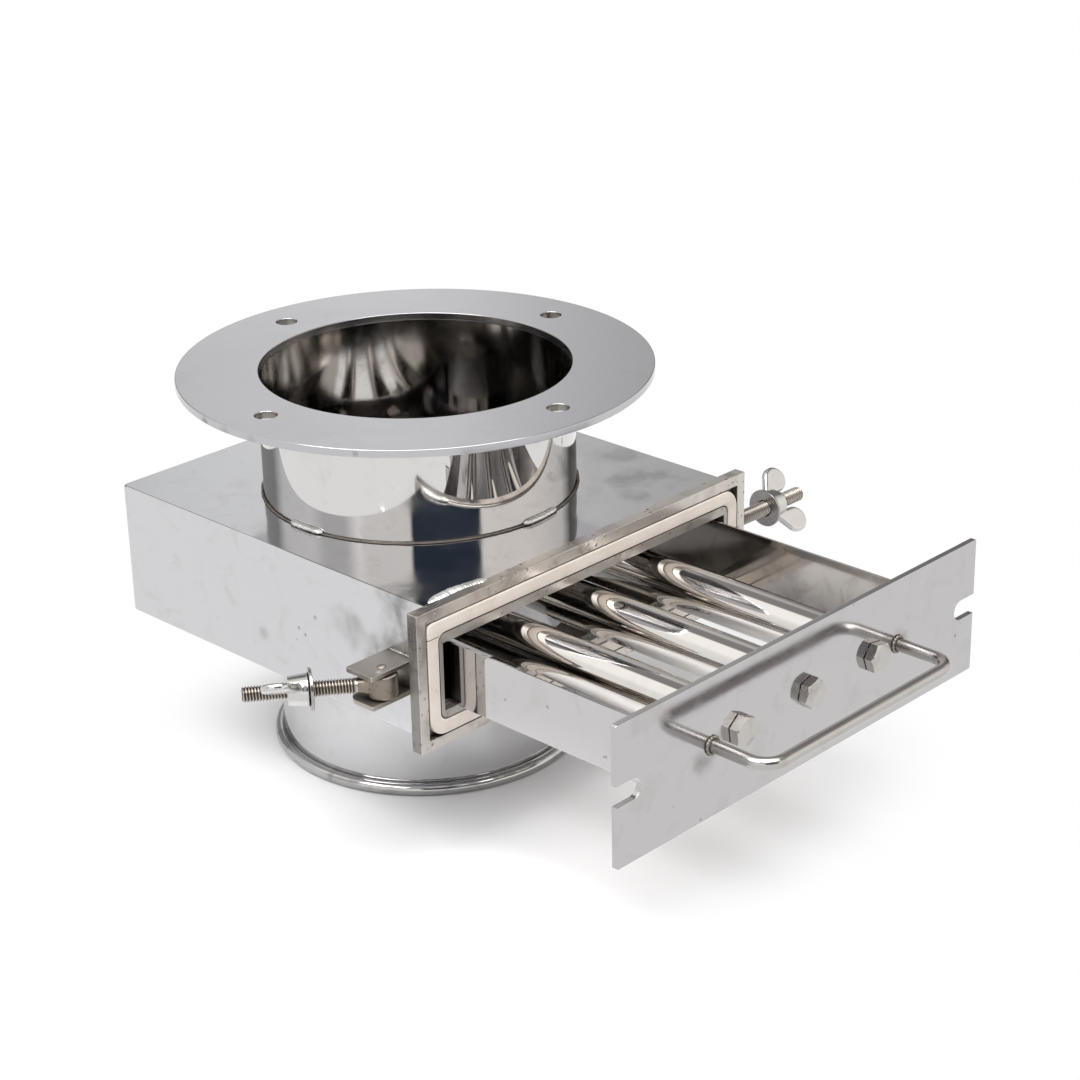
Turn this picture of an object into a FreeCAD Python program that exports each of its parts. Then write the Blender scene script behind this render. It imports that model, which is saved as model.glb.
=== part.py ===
"""A drawer magnet: a flat housing in a round chute with a drawer of three magnet tubes.

Frame: millimetres, +Z up. The origin is the centre of the outlet's rolled bead, on the plane that
the bead stands on. The drawer opens towards -Y, and the object's left side is -X.
"""
import FreeCAD
import Part
import math
import os
import Sketcher

Vector = FreeCAD.Vector
Rotation = FreeCAD.Rotation
Placement = FreeCAD.Placement

# Driving dimensions, in millimetres, or in degrees where the name says so
DRIVING = {
    # the round chute
    "inlet_bore": 200.0,
    "bolt_circle_room": 25.0,
    "flange_margin": 27.5,
    "flange_thickness": 5.0,
    "flange_edge": 0.6,
    "bolt_hole": 14.0,
    "outlet_bore": 193.0,
    "spout_wall": 1.5,
    "inlet_height": 76.6,
    "outlet_height": 87.0,
    "bead_thickness": 8.0,
    "weld_leg": 2.4,
    # the drawer
    "drawer_travel": 165.0,
    "drawer_width": 241.0,
    "drawer_length": 280.0,
    "drawer_height": 40.0,
    "drawer_sheet": 1.5,
    "drawer_bend": 3.0,
    "running_gap": 0.3,
    "closed_gap": 0.3,
    # the folded housing and the runners
    "housing_sheet": 3.0,
    "housing_bend": 5.0,
    "side_room": 7.5,
    "room_below": 21.5,
    "room_above": 21.5,
    "room_behind": 14.0,
    "runner_sheet": 2.0,
    "runner_hold": 7.0,
    # the mouth with its rim, gasket channel and frame
    "mouth_face": -150.5,
    "mouth_side_gap": 6.5,
    "mouth_lift_gap": 2.0,
    "rim_side": 3.0,
    "rim_below": 5.2,
    "rim_above": 6.2,
    "rim_corner": 5.0,
    "channel_wide": 10.2,
    "frame_side": 7.3,
    "frame_below": 6.6,
    "frame_above": 7.6,
    "frame_depth": 8.0,
    "frame_web": 3.0,
    "gasket_gap": 0.5,
    "gasket_proud": 0.5,
    "gasket_corner": 13.0,
    # the magnet tubes and their bolts
    "tube_diameter": 30.0,
    "tube_wall": 1.0,
    "tube_pitch": 62.0,
    "fit_gap": 0.05,
    "plug_length": 15.0,
    "magnet_count": 5.0,
    "pole_thickness": 5.0,
    "bolt_diameter": 10.0,
    "bolt_clearance": 0.5,
    "bolt_reach": 12.0,
    "head_width": 17.0,
    "head_height": 6.4,
    # the front plate and the handle
    "plate_thickness": 4.0,
    "plate_side_lap": 11.2,
    "plate_below_frame": 2.5,
    "plate_under_top": 4.5,
    "notch_slack": 1.4,
    "notch_room": 3.8,
    "notch_lift": 1.1,
    "handle_bar": 8.0,
    "handle_width": 171.0,
    "handle_reach": 40.6,
    "handle_bend": 13.0,
    "handle_drop": 1.0,
    # the swing bolts on their clevises
    "swing_side_gap": 0.3,
    "pivot_behind_frame": 17.7,
    "latch_drop": 2.8,
    "clevis_sheet": 3.0,
    "eye_play": 0.5,
    "ear_front": 7.2,
    "ear_rear": 15.3,
    "ear_side": 14.7,
    "clevis_corner": 8.0,
    "pin_diameter": 6.0,
    "pin_head_rim": 1.0,
    "pin_head_height": 1.2,
    "pin_crown": 2.0,
    "eye_diameter": 19.0,
    "eye_height": 15.0,
    "neck_diameter": 14.0,
    "neck_taper": 1.0,
    "neck_end": 16.0,
    "swing_length": 82.0,
    "swing_point": 1.2,
    "left_swing_angle": 142.0,
    "right_swing_angle": -1.5,
    # the washers and the wing nuts
    "left_washer_place": 41.0,
    "right_washer_place": 45.5,
    "washer_diameter": 26.0,
    "washer_thickness": 2.0,
    "nut_base": 20.0,
    "nut_top": 17.0,
    "nut_height": 12.7,
    "wing_span": 48.0,
    "wing_height": 28.5,
    "wing_thickness": 4.0,
    "wing_radius": 9.2,
    "wing_root": 1.0,
    "wing_heel": 3.0,
    "wing_heel_rise": 2.0,
    "left_wing_angle": -56.5,
    "right_wing_angle": -39.0,
}

os.makedirs("parts", exist_ok=True)
doc = FreeCAD.newDocument("drawer_magnet")


class Size:
    """A size known both as a number and as a formula of the sheet's cells."""

    def __init__(self, value, formula):
        self.value = float(value)
        self.formula = formula

    def __add__(self, other):
        return join(self, "+", other, self.value + number(other))

    def __radd__(self, other):
        return join(other, "+", self, number(other) + self.value)

    def __sub__(self, other):
        return join(self, "-", other, self.value - number(other))

    def __rsub__(self, other):
        return join(other, "-", self, number(other) - self.value)

    def __mul__(self, other):
        return join(self, "*", other, self.value * number(other))

    def __rmul__(self, other):
        return join(other, "*", self, number(other) * self.value)

    def __truediv__(self, other):
        return join(self, "/", other, self.value / number(other))

    def __neg__(self):
        return 0 - self


def number(size):
    """The plain number of a size."""
    return size.value if isinstance(size, Size) else float(size)


def formula(size):
    """The formula text of a size."""
    return size.formula if isinstance(size, Size) else repr(float(size))


def join(left, sign, right, value):
    """Combine two sizes into one, as a number and as a formula."""
    return Size(value, "(" + formula(left) + " " + sign + " " + formula(right) + ")")


class Cells:
    """The sheet's cells by name, each as a size."""


def make_sheet():
    """Write the driving dimensions into a sheet and return them as sizes."""
    sheet = doc.addObject("Spreadsheet::Sheet", "Sizes")
    cells = Cells()
    for row, (name, value) in enumerate(DRIVING.items(), start=1):
        sheet.set("A%d" % row, name)
        sheet.set("B%d" % row, repr(value))
        sheet.setAlias("B%d" % row, name)
        setattr(cells, name, Size(value, "Sizes." + name))
    doc.recompute()
    return cells


def bind(thing, path, size):
    """Drive one property of an object by a formula."""
    thing.setExpression(path, formula(size))


class Free:
    """A coordinate that the other constraints settle; the number is only near it."""

    def __init__(self, size):
        self.value = number(size)


class Arc:
    """A round stretch of an outline, from its corner to the next one."""

    def __init__(self, x, y, turn, radius=None, hold_x=False, hold_y=False):
        self.x = x
        self.y = y
        self.turn = turn
        self.radius = radius
        self.hold_x = hold_x
        self.hold_y = hold_y


def origin_part(body, role):
    """One of the body's own origin planes or axes."""
    return [part for part in body.Origin.OriginFeatures if part.Role == role][0]


def new_body(label):
    """An empty body with its own label."""
    body = doc.addObject("PartDesign::Body", label)
    body.Label = label
    return body


def place(thing, x=0.0, y=0.0, z=0.0):
    """Bind the placement's base to three sizes."""
    for axis, size in (("x", x), ("y", y), ("z", z)):
        bind(thing, "Placement.Base." + axis, size)


def new_sketch(body, name, plane, offset=0.0):
    """A sketch on one of the body's own origin planes, moved along the plane's normal."""
    sketch = body.newObject("Sketcher::SketchObject", body.Label + "_" + name)
    sketch.AttachmentSupport = (origin_part(body, plane), [""])
    sketch.MapMode = "FlatFace"
    bind(sketch, "AttachmentOffset.Base.z", offset)
    return sketch


def hold(sketch, kind, size, *where):
    """Add a constraint with a value and bind that value to a formula."""
    index = sketch.addConstraint(Sketcher.Constraint(kind, *where, number(size)))
    if isinstance(size, Size):
        bind(sketch, "Constraints[%d]" % index, size)


def hold_point(sketch, line, end, x, y):
    """Fix a point of the sketch at its distances from the sketch's origin."""
    for kind, axis, size in (("DistanceX", -2, x), ("DistanceY", -1, y)):
        if isinstance(size, Free):
            continue
        if isinstance(size, Size):
            hold(sketch, kind, size, -1, 1, line, end)
        elif size == 0:
            sketch.addConstraint(Sketcher.Constraint("PointOnObject", line, end, axis))
        else:
            hold(sketch, kind, size, -1, 1, line, end)


def draw_circle(sketch, radius, x=0.0, y=0.0):
    """A circle about a held centre."""
    centre = Vector(number(x), number(y), 0)
    ring = sketch.addGeometry(Part.Circle(centre, Vector(0, 0, 1), number(radius)), False)
    hold_point(sketch, ring, 3, x, y)
    hold(sketch, "Radius", radius, ring)


def draw_outline(sketch, corners):
    """A closed outline; a corner is (x, y), or (x, y, Arc) where a round stretch follows."""
    def near(size):
        return size.value if isinstance(size, (Size, Free)) else float(size)

    ends = []
    for index, corner in enumerate(corners):
        after = corners[(index + 1) % len(corners)]
        start = Vector(near(corner[0]), near(corner[1]), 0)
        end = Vector(near(after[0]), near(after[1]), 0)
        if len(corner) == 2:
            ends.append((sketch.addGeometry(Part.LineSegment(start, end), False), 1, 2))
            continue
        arc = corner[2]
        centre = Vector(near(arc.x), near(arc.y), 0)
        circle = Part.Circle(centre, Vector(0, 0, 1), (start - centre).Length)
        angles = [math.atan2(point.y - centre.y, point.x - centre.x) for point in (start, end)]
        if arc.turn > 0:
            piece = Part.ArcOfCircle(circle, angles[0], angles[1])
            ends.append((sketch.addGeometry(piece, False), 1, 2))
        else:
            piece = Part.ArcOfCircle(circle, angles[1], angles[0])
            ends.append((sketch.addGeometry(piece, False), 2, 1))
        line = ends[-1][0]
        if arc.hold_x:
            hold_point(sketch, line, 3, arc.x, Free(0))
        if arc.hold_y:
            hold_point(sketch, line, 3, Free(0), arc.y)
        if arc.radius is not None:
            hold(sketch, "Radius", arc.radius, line)
    for index, corner in enumerate(corners):
        line, first, _ = ends[index]
        before, _, last = ends[index - 1]
        sketch.addConstraint(Sketcher.Constraint("Coincident", before, last, line, first))
        hold_point(sketch, line, first, corner[0], corner[1])


def draw_rectangle(sketch, left, bottom, right, top):
    """A rectangle with square corners."""
    draw_outline(sketch, [(left, bottom), (right, bottom), (right, top), (left, top)])


def draw_round_rectangle(sketch, left, bottom, right, top, radius):
    """A rectangle with four equal round corners."""
    in_left = left + radius
    in_right = right - radius
    in_bottom = bottom + radius
    in_top = top - radius
    draw_outline(sketch, [
        (in_left, bottom),
        (in_right, bottom, Arc(in_right, in_bottom, 1, radius)),
        (right, in_bottom),
        (right, in_top, Arc(in_right, in_top, 1, radius)),
        (in_right, top),
        (in_left, top, Arc(in_left, in_top, 1, radius)),
        (left, in_top),
        (left, in_bottom, Arc(in_left, in_bottom, 1, radius)),
    ])


def pad(body, name, sketch, length, backwards=False):
    """Give a sketch a thickness along its normal."""
    feature = body.newObject("PartDesign::Pad", body.Label + "_" + name)
    feature.Profile = sketch
    feature.Reversed = backwards
    bind(feature, "Length", length)
    doc.recompute()
    return feature


def cut(body, name, sketch, length, backwards=False):
    """Cut a sketch into the body along its normal and make sure that it removes something."""
    before = body.Shape.Volume
    feature = body.newObject("PartDesign::Pocket", body.Label + "_" + name)
    feature.Profile = sketch
    feature.Reversed = backwards
    bind(feature, "Length", length)
    doc.recompute()
    if body.Shape.Volume > before - 1.0:
        raise RuntimeError(feature.Name + " cuts nothing")
    return feature


def turn(body, name, sketch, axis="V_Axis", kind="PartDesign::Revolution"):
    """Turn a sketch a full circle about one of its own axes."""
    feature = body.newObject(kind, body.Label + "_" + name)
    feature.Profile = sketch
    feature.ReferenceAxis = (sketch, [axis])
    feature.Angle = 360.0
    doc.recompute()
    return feature


def repeat_round(body, name, feature, count, axis="Z_Axis"):
    """Repeat a feature evenly about one of the body's axes."""
    pattern = body.newObject("PartDesign::PolarPattern", body.Label + "_" + name)
    pattern.Originals = [feature]
    pattern.Axis = (origin_part(body, axis), [""])
    pattern.Angle = 360.0
    pattern.Occurrences = count
    body.Tip = pattern
    doc.recompute()
    return pattern


def dress(body, name, kind, edges, size):
    """Round or chamfer the edges that a test picks from the body's shape."""
    base = body.Tip
    picked = ["Edge%d" % (index + 1) for index, edge in enumerate(base.Shape.Edges) if edges(edge)]
    feature = body.newObject(kind, body.Label + "_" + name)
    feature.Base = (base, picked)
    bind(feature, "Radius" if kind == "PartDesign::Fillet" else "Size", size)
    doc.recompute()
    return feature


def is_line_along(edge, axis):
    """Whether an edge is straight and runs along an axis."""
    if not isinstance(edge.Curve, Part.Line):
        return False
    return abs(abs(edge.tangentAt(edge.FirstParameter).dot(axis)) - 1.0) < 1e-6


def bar_along_y(label, radius, length, start, x, z):
    """A cylinder along +Y."""
    bar = doc.addObject("Part::Cylinder", label)
    bar.Label = label
    bind(bar, "Radius", radius)
    bind(bar, "Height", length)
    bar.Placement = Placement(Vector(0, 0, 0), Rotation(Vector(1, 0, 0), -90))
    place(bar, x, start, z)
    return bar


cells = make_sheet()

# Places that several pieces share, from the outlet upwards
drawer_bottom = cells.outlet_height + cells.housing_sheet + cells.room_below
drawer_top = drawer_bottom + cells.drawer_height
housing_top_face = drawer_top + cells.room_above + cells.housing_sheet
flange_bottom = housing_top_face + cells.inlet_height
tube_centre = drawer_bottom + cells.drawer_height / 2
latch_centre = tube_centre - cells.latch_drop

# The mouth and what frames it, each ring outside the last
frame_back = cells.mouth_face + cells.frame_depth
mouth_half = cells.drawer_width / 2 + cells.mouth_side_gap
mouth_bottom = drawer_bottom - cells.mouth_lift_gap
mouth_top = drawer_top + cells.mouth_lift_gap
rim_half = mouth_half + cells.rim_side
rim_bottom = mouth_bottom - cells.rim_below
rim_top = mouth_top + cells.rim_above
channel_half = rim_half + cells.channel_wide
channel_bottom = rim_bottom - cells.channel_wide
channel_top = rim_top + cells.channel_wide
frame_half = channel_half + cells.frame_side
frame_bottom = channel_bottom - cells.frame_below
frame_top = channel_top + cells.frame_above

# The housing round the drawer and the swing bolts beside the frame
housing_half = cells.drawer_width / 2 + cells.side_room + cells.runner_sheet + cells.housing_sheet
housing_rear = cells.mouth_face + cells.drawer_length + cells.room_behind
pivot_side = frame_half + cells.bolt_diameter / 2 + cells.swing_side_gap
pivot_front = frame_back + cells.pivot_behind_frame
ear_inside = cells.eye_height / 2 + cells.eye_play
ear_outside = ear_inside + cells.clevis_sheet
pin_hole_radius = cells.pin_diameter / 2 + cells.fit_gap

# The drawer as it stands open, and its magnet tubes
plate_back = cells.mouth_face - cells.gasket_proud - cells.closed_gap - cells.drawer_travel
drawer_rear = plate_back + cells.drawer_length
bolt_hole_radius = cells.bolt_diameter / 2 + cells.bolt_clearance
core_radius = cells.tube_diameter / 2 - cells.tube_wall - cells.fit_gap
thread_bore_radius = cells.bolt_diameter / 2 + cells.fit_gap

SIDES = (("left", -1), ("right", 1))
TUBES = (("left", -1), ("centre", 0), ("right", 1))
nodes = []


def make_inlet_flange():
    """The flange welded on the inlet spout: a flat ring with four bolt holes."""
    body = new_body("inlet_flange")
    place(body, 0, 0, flange_bottom)
    bolt_radius = cells.inlet_bore / 2 + cells.bolt_circle_room
    rim_radius = bolt_radius + cells.flange_margin
    ring = new_sketch(body, "ring", "XY_Plane")
    draw_circle(ring, rim_radius)
    draw_circle(ring, cells.inlet_bore / 2)
    pad(body, "plate", ring, cells.flange_thickness)
    hole = new_sketch(body, "hole", "XY_Plane")
    draw_circle(hole, cells.bolt_hole / 2, 0, bolt_radius)
    first = cut(body, "first_hole", hole, cells.flange_thickness, True)
    repeat_round(body, "holes", first, 4)

    def is_rim(edge):
        return isinstance(edge.Curve, Part.Circle) and abs(edge.Curve.Radius - rim_radius.value) < 1e-6

    dress(body, "edge", "PartDesign::Chamfer", is_rim, cells.flange_edge)
    return body


def make_inlet_spout():
    """The rolled inlet tube with the weld ring at its foot."""
    body = new_body("inlet_spout")
    place(body, 0, 0, housing_top_face)
    profile = new_sketch(body, "profile", "XZ_Plane")
    bore = cells.inlet_bore / 2
    outside = bore + cells.spout_wall
    draw_outline(profile, [
        (bore, 0),
        (outside + cells.weld_leg, 0),
        (outside, cells.weld_leg),
        (outside, cells.inlet_height),
        (bore, cells.inlet_height),
    ])
    turn(body, "tube", profile)
    return body


def make_outlet_spout():
    """The rolled outlet tube whose lower edge curls outwards into a bead."""
    body = new_body("outlet_spout")
    profile = new_sketch(body, "profile", "XZ_Plane")
    bore = cells.outlet_bore / 2
    outside = bore + cells.spout_wall
    bead = cells.bead_thickness / 2
    over_bead = bead.value + math.sqrt(bead.value ** 2 - (bead.value - cells.spout_wall.value) ** 2)
    draw_outline(profile, [
        (Free(bore), bead, Arc(bore + bead, bead, 1, bead, hold_x=True, hold_y=True)),
        (outside, Free(over_bead)),
        (outside, cells.outlet_height),
        (bore, cells.outlet_height),
    ])
    turn(body, "tube", profile)
    return body


def make_housing_wall():
    """The side and rear walls, folded from one sheet."""
    body = new_body("housing_wall")
    place(body, 0, 0, cells.outlet_height + cells.housing_sheet)
    profile = new_sketch(body, "profile", "XY_Plane")
    side = housing_half
    inside = side - cells.housing_sheet
    rear = housing_rear
    inner_rear = rear - cells.housing_sheet
    bend = cells.housing_bend
    inner_bend = bend - cells.housing_sheet
    draw_outline(profile, [
        (-side, frame_back),
        (-inside, frame_back),
        (-inside, inner_rear - inner_bend, Arc(-inside + inner_bend, inner_rear - inner_bend, -1,
                                               inner_bend)),
        (-inside + inner_bend, inner_rear),
        (inside - inner_bend, inner_rear, Arc(inside - inner_bend, inner_rear - inner_bend, -1,
                                              inner_bend)),
        (inside, inner_rear - inner_bend),
        (inside, frame_back),
        (side, frame_back),
        (side, rear - bend, Arc(side - bend, rear - bend, 1, bend)),
        (side - bend, rear),
        (-side + bend, rear, Arc(-side + bend, rear - bend, 1, bend)),
        (-side, rear - bend),
    ])
    pad(body, "wall", profile, cells.room_below + cells.drawer_height + cells.room_above)
    return body


def make_housing_plate(label, height, bore):
    """A flat plate that closes the housing above or below, with the chute's hole."""
    body = new_body(label)
    place(body, 0, 0, height)
    profile = new_sketch(body, "profile", "XY_Plane")
    side = housing_half
    rear = housing_rear
    bend = cells.housing_bend
    draw_outline(profile, [
        (-side, frame_back),
        (side, frame_back),
        (side, rear - bend, Arc(side - bend, rear - bend, 1, bend)),
        (side - bend, rear),
        (-side + bend, rear, Arc(-side + bend, rear - bend, 1, bend)),
        (-side, rear - bend),
    ])
    draw_circle(profile, bore / 2)
    pad(body, "plate", profile, cells.housing_sheet)
    return body


def make_mouth_frame():
    """The machined frame at the housing's front, with the channel that holds the gasket."""
    body = new_body("mouth_frame")
    place(body, 0, frame_back, 0)
    outline = new_sketch(body, "outline", "XZ_Plane")
    draw_rectangle(outline, -frame_half, frame_bottom, frame_half, frame_top)
    draw_rectangle(outline, -mouth_half, mouth_bottom, mouth_half, mouth_top)
    pad(body, "plate", outline, cells.frame_depth)
    channel = new_sketch(body, "channel", "XZ_Plane", cells.frame_web)
    draw_rectangle(channel, -channel_half, channel_bottom, channel_half, channel_top)
    cut(body, "recess", channel, cells.frame_depth - cells.frame_web, True)
    return body


def make_mouth_rim():
    """The low rim round the mouth that closes the gasket's channel on the inside."""
    body = new_body("mouth_rim")
    place(body, 0, frame_back, 0)
    outline = new_sketch(body, "outline", "XZ_Plane", cells.frame_web)
    draw_round_rectangle(outline, -rim_half, rim_bottom, rim_half, rim_top, cells.rim_corner)
    draw_rectangle(outline, -mouth_half, mouth_bottom, mouth_half, mouth_top)
    pad(body, "rim", outline, cells.frame_depth - cells.frame_web)
    return body


def make_mouth_gasket():
    """The rubber ring in the channel, with round corners and a little proud of the frame."""
    body = new_body("mouth_gasket")
    place(body, 0, frame_back, 0)
    outline = new_sketch(body, "outline", "XZ_Plane", cells.frame_web)
    gap = cells.gasket_gap
    half = channel_half - gap
    draw_round_rectangle(outline, -half, channel_bottom + gap, half, channel_top - gap,
                         cells.gasket_corner)
    half = rim_half + gap
    draw_round_rectangle(outline, -half, rim_bottom - gap, half, rim_top + gap,
                         cells.rim_corner + gap)
    pad(body, "ring", outline, cells.frame_depth - cells.frame_web + cells.gasket_proud)
    return body


def make_runner(side, sign):
    """A folded channel on the housing's side wall, which carries one side of the drawer."""
    body = new_body("runner_" + side)
    profile = new_sketch(body, "profile", "XZ_Plane", -frame_back)
    wall = sign * (housing_half - cells.housing_sheet)
    web = wall - sign * cells.runner_sheet
    tip = sign * (cells.drawer_width / 2 - cells.runner_hold)
    bottom = drawer_bottom - cells.running_gap
    top = drawer_top + cells.running_gap
    draw_outline(profile, [
        (wall, bottom - cells.runner_sheet),
        (tip, bottom - cells.runner_sheet),
        (tip, bottom),
        (web, bottom),
        (web, top),
        (tip, top),
        (tip, top + cells.runner_sheet),
        (wall, top + cells.runner_sheet),
    ])
    pad(body, "channel", profile, housing_rear - cells.housing_bend - frame_back, True)
    return body


def make_clevis(side, sign):
    """A folded bracket on the side wall, whose two ears hold the swing bolt's pin."""
    body = new_body("clevis_" + side)
    place(body, sign * pivot_side, pivot_front, latch_centre)
    profile = new_sketch(body, "profile", "XZ_Plane", cells.ear_front)
    wall = sign * (housing_half - pivot_side)
    web = wall + sign * cells.clevis_sheet
    tip = sign * cells.ear_side
    draw_outline(profile, [
        (wall, -ear_outside),
        (tip, -ear_outside),
        (tip, -ear_inside),
        (web, -ear_inside),
        (web, ear_inside),
        (tip, ear_inside),
        (tip, ear_outside),
        (wall, ear_outside),
    ])
    pad(body, "bracket", profile, cells.ear_front + cells.ear_rear, True)
    hole = new_sketch(body, "hole", "XY_Plane", -ear_outside)
    draw_circle(hole, pin_hole_radius)
    cut(body, "pin_hole", hole, ear_outside * 2, True)

    def is_rear_corner(edge):
        point = edge.valueAt(edge.FirstParameter)
        upright = is_line_along(edge, Vector(0, 0, 1))
        lower = point.z < 0
        return upright and lower and abs(point.x - tip.value) < 1e-6 and point.y > 0

    dress(body, "corners", "PartDesign::Fillet", is_rear_corner, cells.clevis_corner)
    return body


def make_clevis_pin(side, sign):
    """The pin through the ears, peened over at both ends."""
    body = new_body("clevis_pin_" + side)
    place(body, sign * pivot_side, pivot_front, latch_centre)
    profile = new_sketch(body, "profile", "XZ_Plane")
    shank = cells.pin_diameter / 2
    head = shank + cells.pin_head_rim
    end = ear_outside + cells.pin_head_height
    draw_outline(profile, [
        (0, -end),
        (cells.pin_crown, -end),
        (head, -ear_outside),
        (shank, -ear_outside),
        (shank, ear_outside),
        (head, ear_outside),
        (cells.pin_crown, end),
        (0, end),
    ])
    turn(body, "pin", profile)
    return body


def make_drawer_frame():
    """The drawer's two sides and rear, folded from one strip; it has no bottom."""
    body = new_body("drawer_frame")
    place(body, 0, plate_back, drawer_bottom)
    profile = new_sketch(body, "profile", "XY_Plane")
    side = cells.drawer_width / 2
    inside = side - cells.drawer_sheet
    rear = cells.drawer_length
    inner_rear = rear - cells.drawer_sheet
    bend = cells.drawer_bend
    inner_bend = bend - cells.drawer_sheet
    draw_outline(profile, [
        (-side, 0),
        (-inside, 0),
        (-inside, inner_rear - inner_bend, Arc(-inside + inner_bend, inner_rear - inner_bend, -1,
                                               inner_bend)),
        (-inside + inner_bend, inner_rear),
        (inside - inner_bend, inner_rear, Arc(inside - inner_bend, inner_rear - inner_bend, -1,
                                              inner_bend)),
        (inside, inner_rear - inner_bend),
        (inside, 0),
        (side, 0),
        (side, rear - bend, Arc(side - bend, rear - bend, 1, bend)),
        (side - bend, rear),
        (-side + bend, rear, Arc(-side + bend, rear - bend, 1, bend)),
        (-side, rear - bend),
    ])
    pad(body, "wall", profile, cells.drawer_height)
    holes = new_sketch(body, "holes", "XZ_Plane", -rear)
    for _, step in TUBES:
        draw_circle(holes, bolt_hole_radius, step * cells.tube_pitch, cells.drawer_height / 2)
    cut(body, "rear_holes", holes, cells.drawer_sheet * 2, True)
    return body


def make_front_plate():
    """The drawer's front plate, with a notch for a swing bolt at each side."""
    body = new_body("front_plate")
    place(body, 0, plate_back, 0)
    outline = new_sketch(body, "outline", "XZ_Plane")
    half = pivot_side + cells.plate_side_lap
    bottom = frame_bottom - cells.plate_below_frame
    top = frame_top - cells.plate_under_top
    centre = latch_centre + cells.notch_lift
    radius = cells.bolt_diameter / 2 + cells.notch_slack
    depth = pivot_side - cells.bolt_diameter / 2 - cells.notch_room + radius
    draw_outline(outline, [
        (-half, bottom),
        (half, bottom),
        (half, centre - radius),
        (depth, centre - radius, Arc(depth, centre, -1, hold_x=True)),
        (depth, centre + radius),
        (half, centre + radius),
        (half, top),
        (-half, top),
        (-half, centre + radius),
        (-depth, centre + radius, Arc(-depth, centre, -1, hold_x=True)),
        (-depth, centre - radius),
        (-half, centre - radius),
    ])
    for _, step in TUBES:
        draw_circle(outline, bolt_hole_radius, step * cells.tube_pitch, tube_centre)
    pad(body, "plate", outline, cells.plate_thickness)
    return body


def make_handle():
    """The bar handle, bent from one round rod and welded to the front plate."""
    body = new_body("handle")
    place(body, 0, plate_back - cells.plate_thickness, tube_centre - cells.handle_drop)
    route = new_sketch(body, "route", "XY_Plane")
    half = cells.handle_width / 2
    reach = -cells.handle_reach
    bend = cells.handle_bend
    points = [
        (-half, 0),
        (-half, reach + bend),
        (-half + bend, reach),
        (half - bend, reach),
        (half, reach + bend),
        (half, 0),
    ]
    centres = {1: -half + bend, 3: half - bend}
    lines = []
    for index in range(len(points) - 1):
        start, end = [Vector(number(x), number(y), 0) for x, y in points[index:index + 2]]
        if index in centres:
            centre = Vector(number(centres[index]), number(reach + bend), 0)
            circle = Part.Circle(centre, Vector(0, 0, 1), bend.value)
            angles = [math.atan2(point.y - centre.y, point.x - centre.x) for point in (start, end)]
            lines.append(route.addGeometry(Part.ArcOfCircle(circle, *angles), False))
            hold(route, "Radius", bend, lines[-1])
        else:
            lines.append(route.addGeometry(Part.LineSegment(start, end), False))
    for index, line in enumerate(lines):
        hold_point(route, line, 1, *points[index])
        if index:
            route.addConstraint(Sketcher.Constraint("Coincident", lines[index - 1], 2, line, 1))
    hold_point(route, lines[-1], 2, *points[-1])
    section = new_sketch(body, "section", "XZ_Plane")
    draw_circle(section, cells.handle_bar / 2, -half, 0)
    doc.recompute()
    bar = body.newObject("PartDesign::AdditivePipe", "handle_bar")
    bar.Profile = section
    bar.Spine = (route, ["Edge%d" % (index + 1) for index in range(len(lines))])
    doc.recompute()
    return body


def make_hex_bolt(label, step, seat, sign):
    """A hexagon bolt along Y; sign is -1 where its head points to the front."""
    body = new_body(label)
    place(body, step * cells.tube_pitch, seat, tube_centre)
    flat = cells.head_width / 2
    corner = flat / math.cos(math.radians(30))
    head = new_sketch(body, "head", "XZ_Plane")
    draw_outline(head, [
        (0, -corner),
        (flat, -corner / 2),
        (flat, corner / 2),
        (0, corner),
        (-flat, corner / 2),
        (-flat, -corner / 2),
    ])
    pad(body, "hexagon", head, cells.head_height, sign > 0)
    profile = new_sketch(body, "chamfer", "YZ_Plane")
    face = sign * cells.head_height
    outside = corner * 2 - flat
    drop = sign * (outside - flat) * math.tan(math.radians(30))
    draw_outline(profile, [
        (face, flat),
        (face, outside),
        (face - drop, outside),
    ])
    turn(body, "corners", profile, "H_Axis", "PartDesign::Groove")
    shank = new_sketch(body, "shank", "XZ_Plane")
    draw_circle(shank, cells.bolt_diameter / 2)
    pad(body, "thread_core", shank, cells.bolt_reach, sign < 0)
    return body


def make_tube_sleeve(side, step):
    """The thin polished tube round one row of magnets."""
    label = "tube_sleeve_" + side
    length = cells.drawer_length - cells.drawer_sheet
    outer = bar_along_y(label + "_outside", cells.tube_diameter / 2, length, plate_back,
                        step * cells.tube_pitch, tube_centre)
    inner = bar_along_y(label + "_inside", cells.tube_diameter / 2 - cells.tube_wall, length,
                        plate_back, step * cells.tube_pitch, tube_centre)
    sleeve = doc.addObject("Part::Cut", label)
    sleeve.Label = label
    sleeve.Base = outer
    sleeve.Tool = inner
    return sleeve


def make_tube_plug(end, side, step, start):
    """The threaded plug that closes one end of a tube."""
    label = end + "_plug_" + side
    body = bar_along_y(label + "_disc", core_radius, cells.plug_length, start,
                       step * cells.tube_pitch, tube_centre)
    hole = bar_along_y(label + "_hole", thread_bore_radius, cells.plug_length, start,
                       step * cells.tube_pitch, tube_centre)
    plug = doc.addObject("Part::Cut", label)
    plug.Label = label
    plug.Base = body
    plug.Tool = hole
    return plug


def make_disc_row(label, count, length, start, pitch, step):
    """A row of equal discs inside a tube, as separate solids of one piece list."""
    discs = []
    for index in range(count):
        discs.append(bar_along_y("%s_disc_%d" % (label, index + 1), core_radius, length,
                                 start + pitch * index, step * cells.tube_pitch, tube_centre))
    row = doc.addObject("Part::MultiFuse", label)
    row.Label = label
    row.Shapes = discs
    return row


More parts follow.
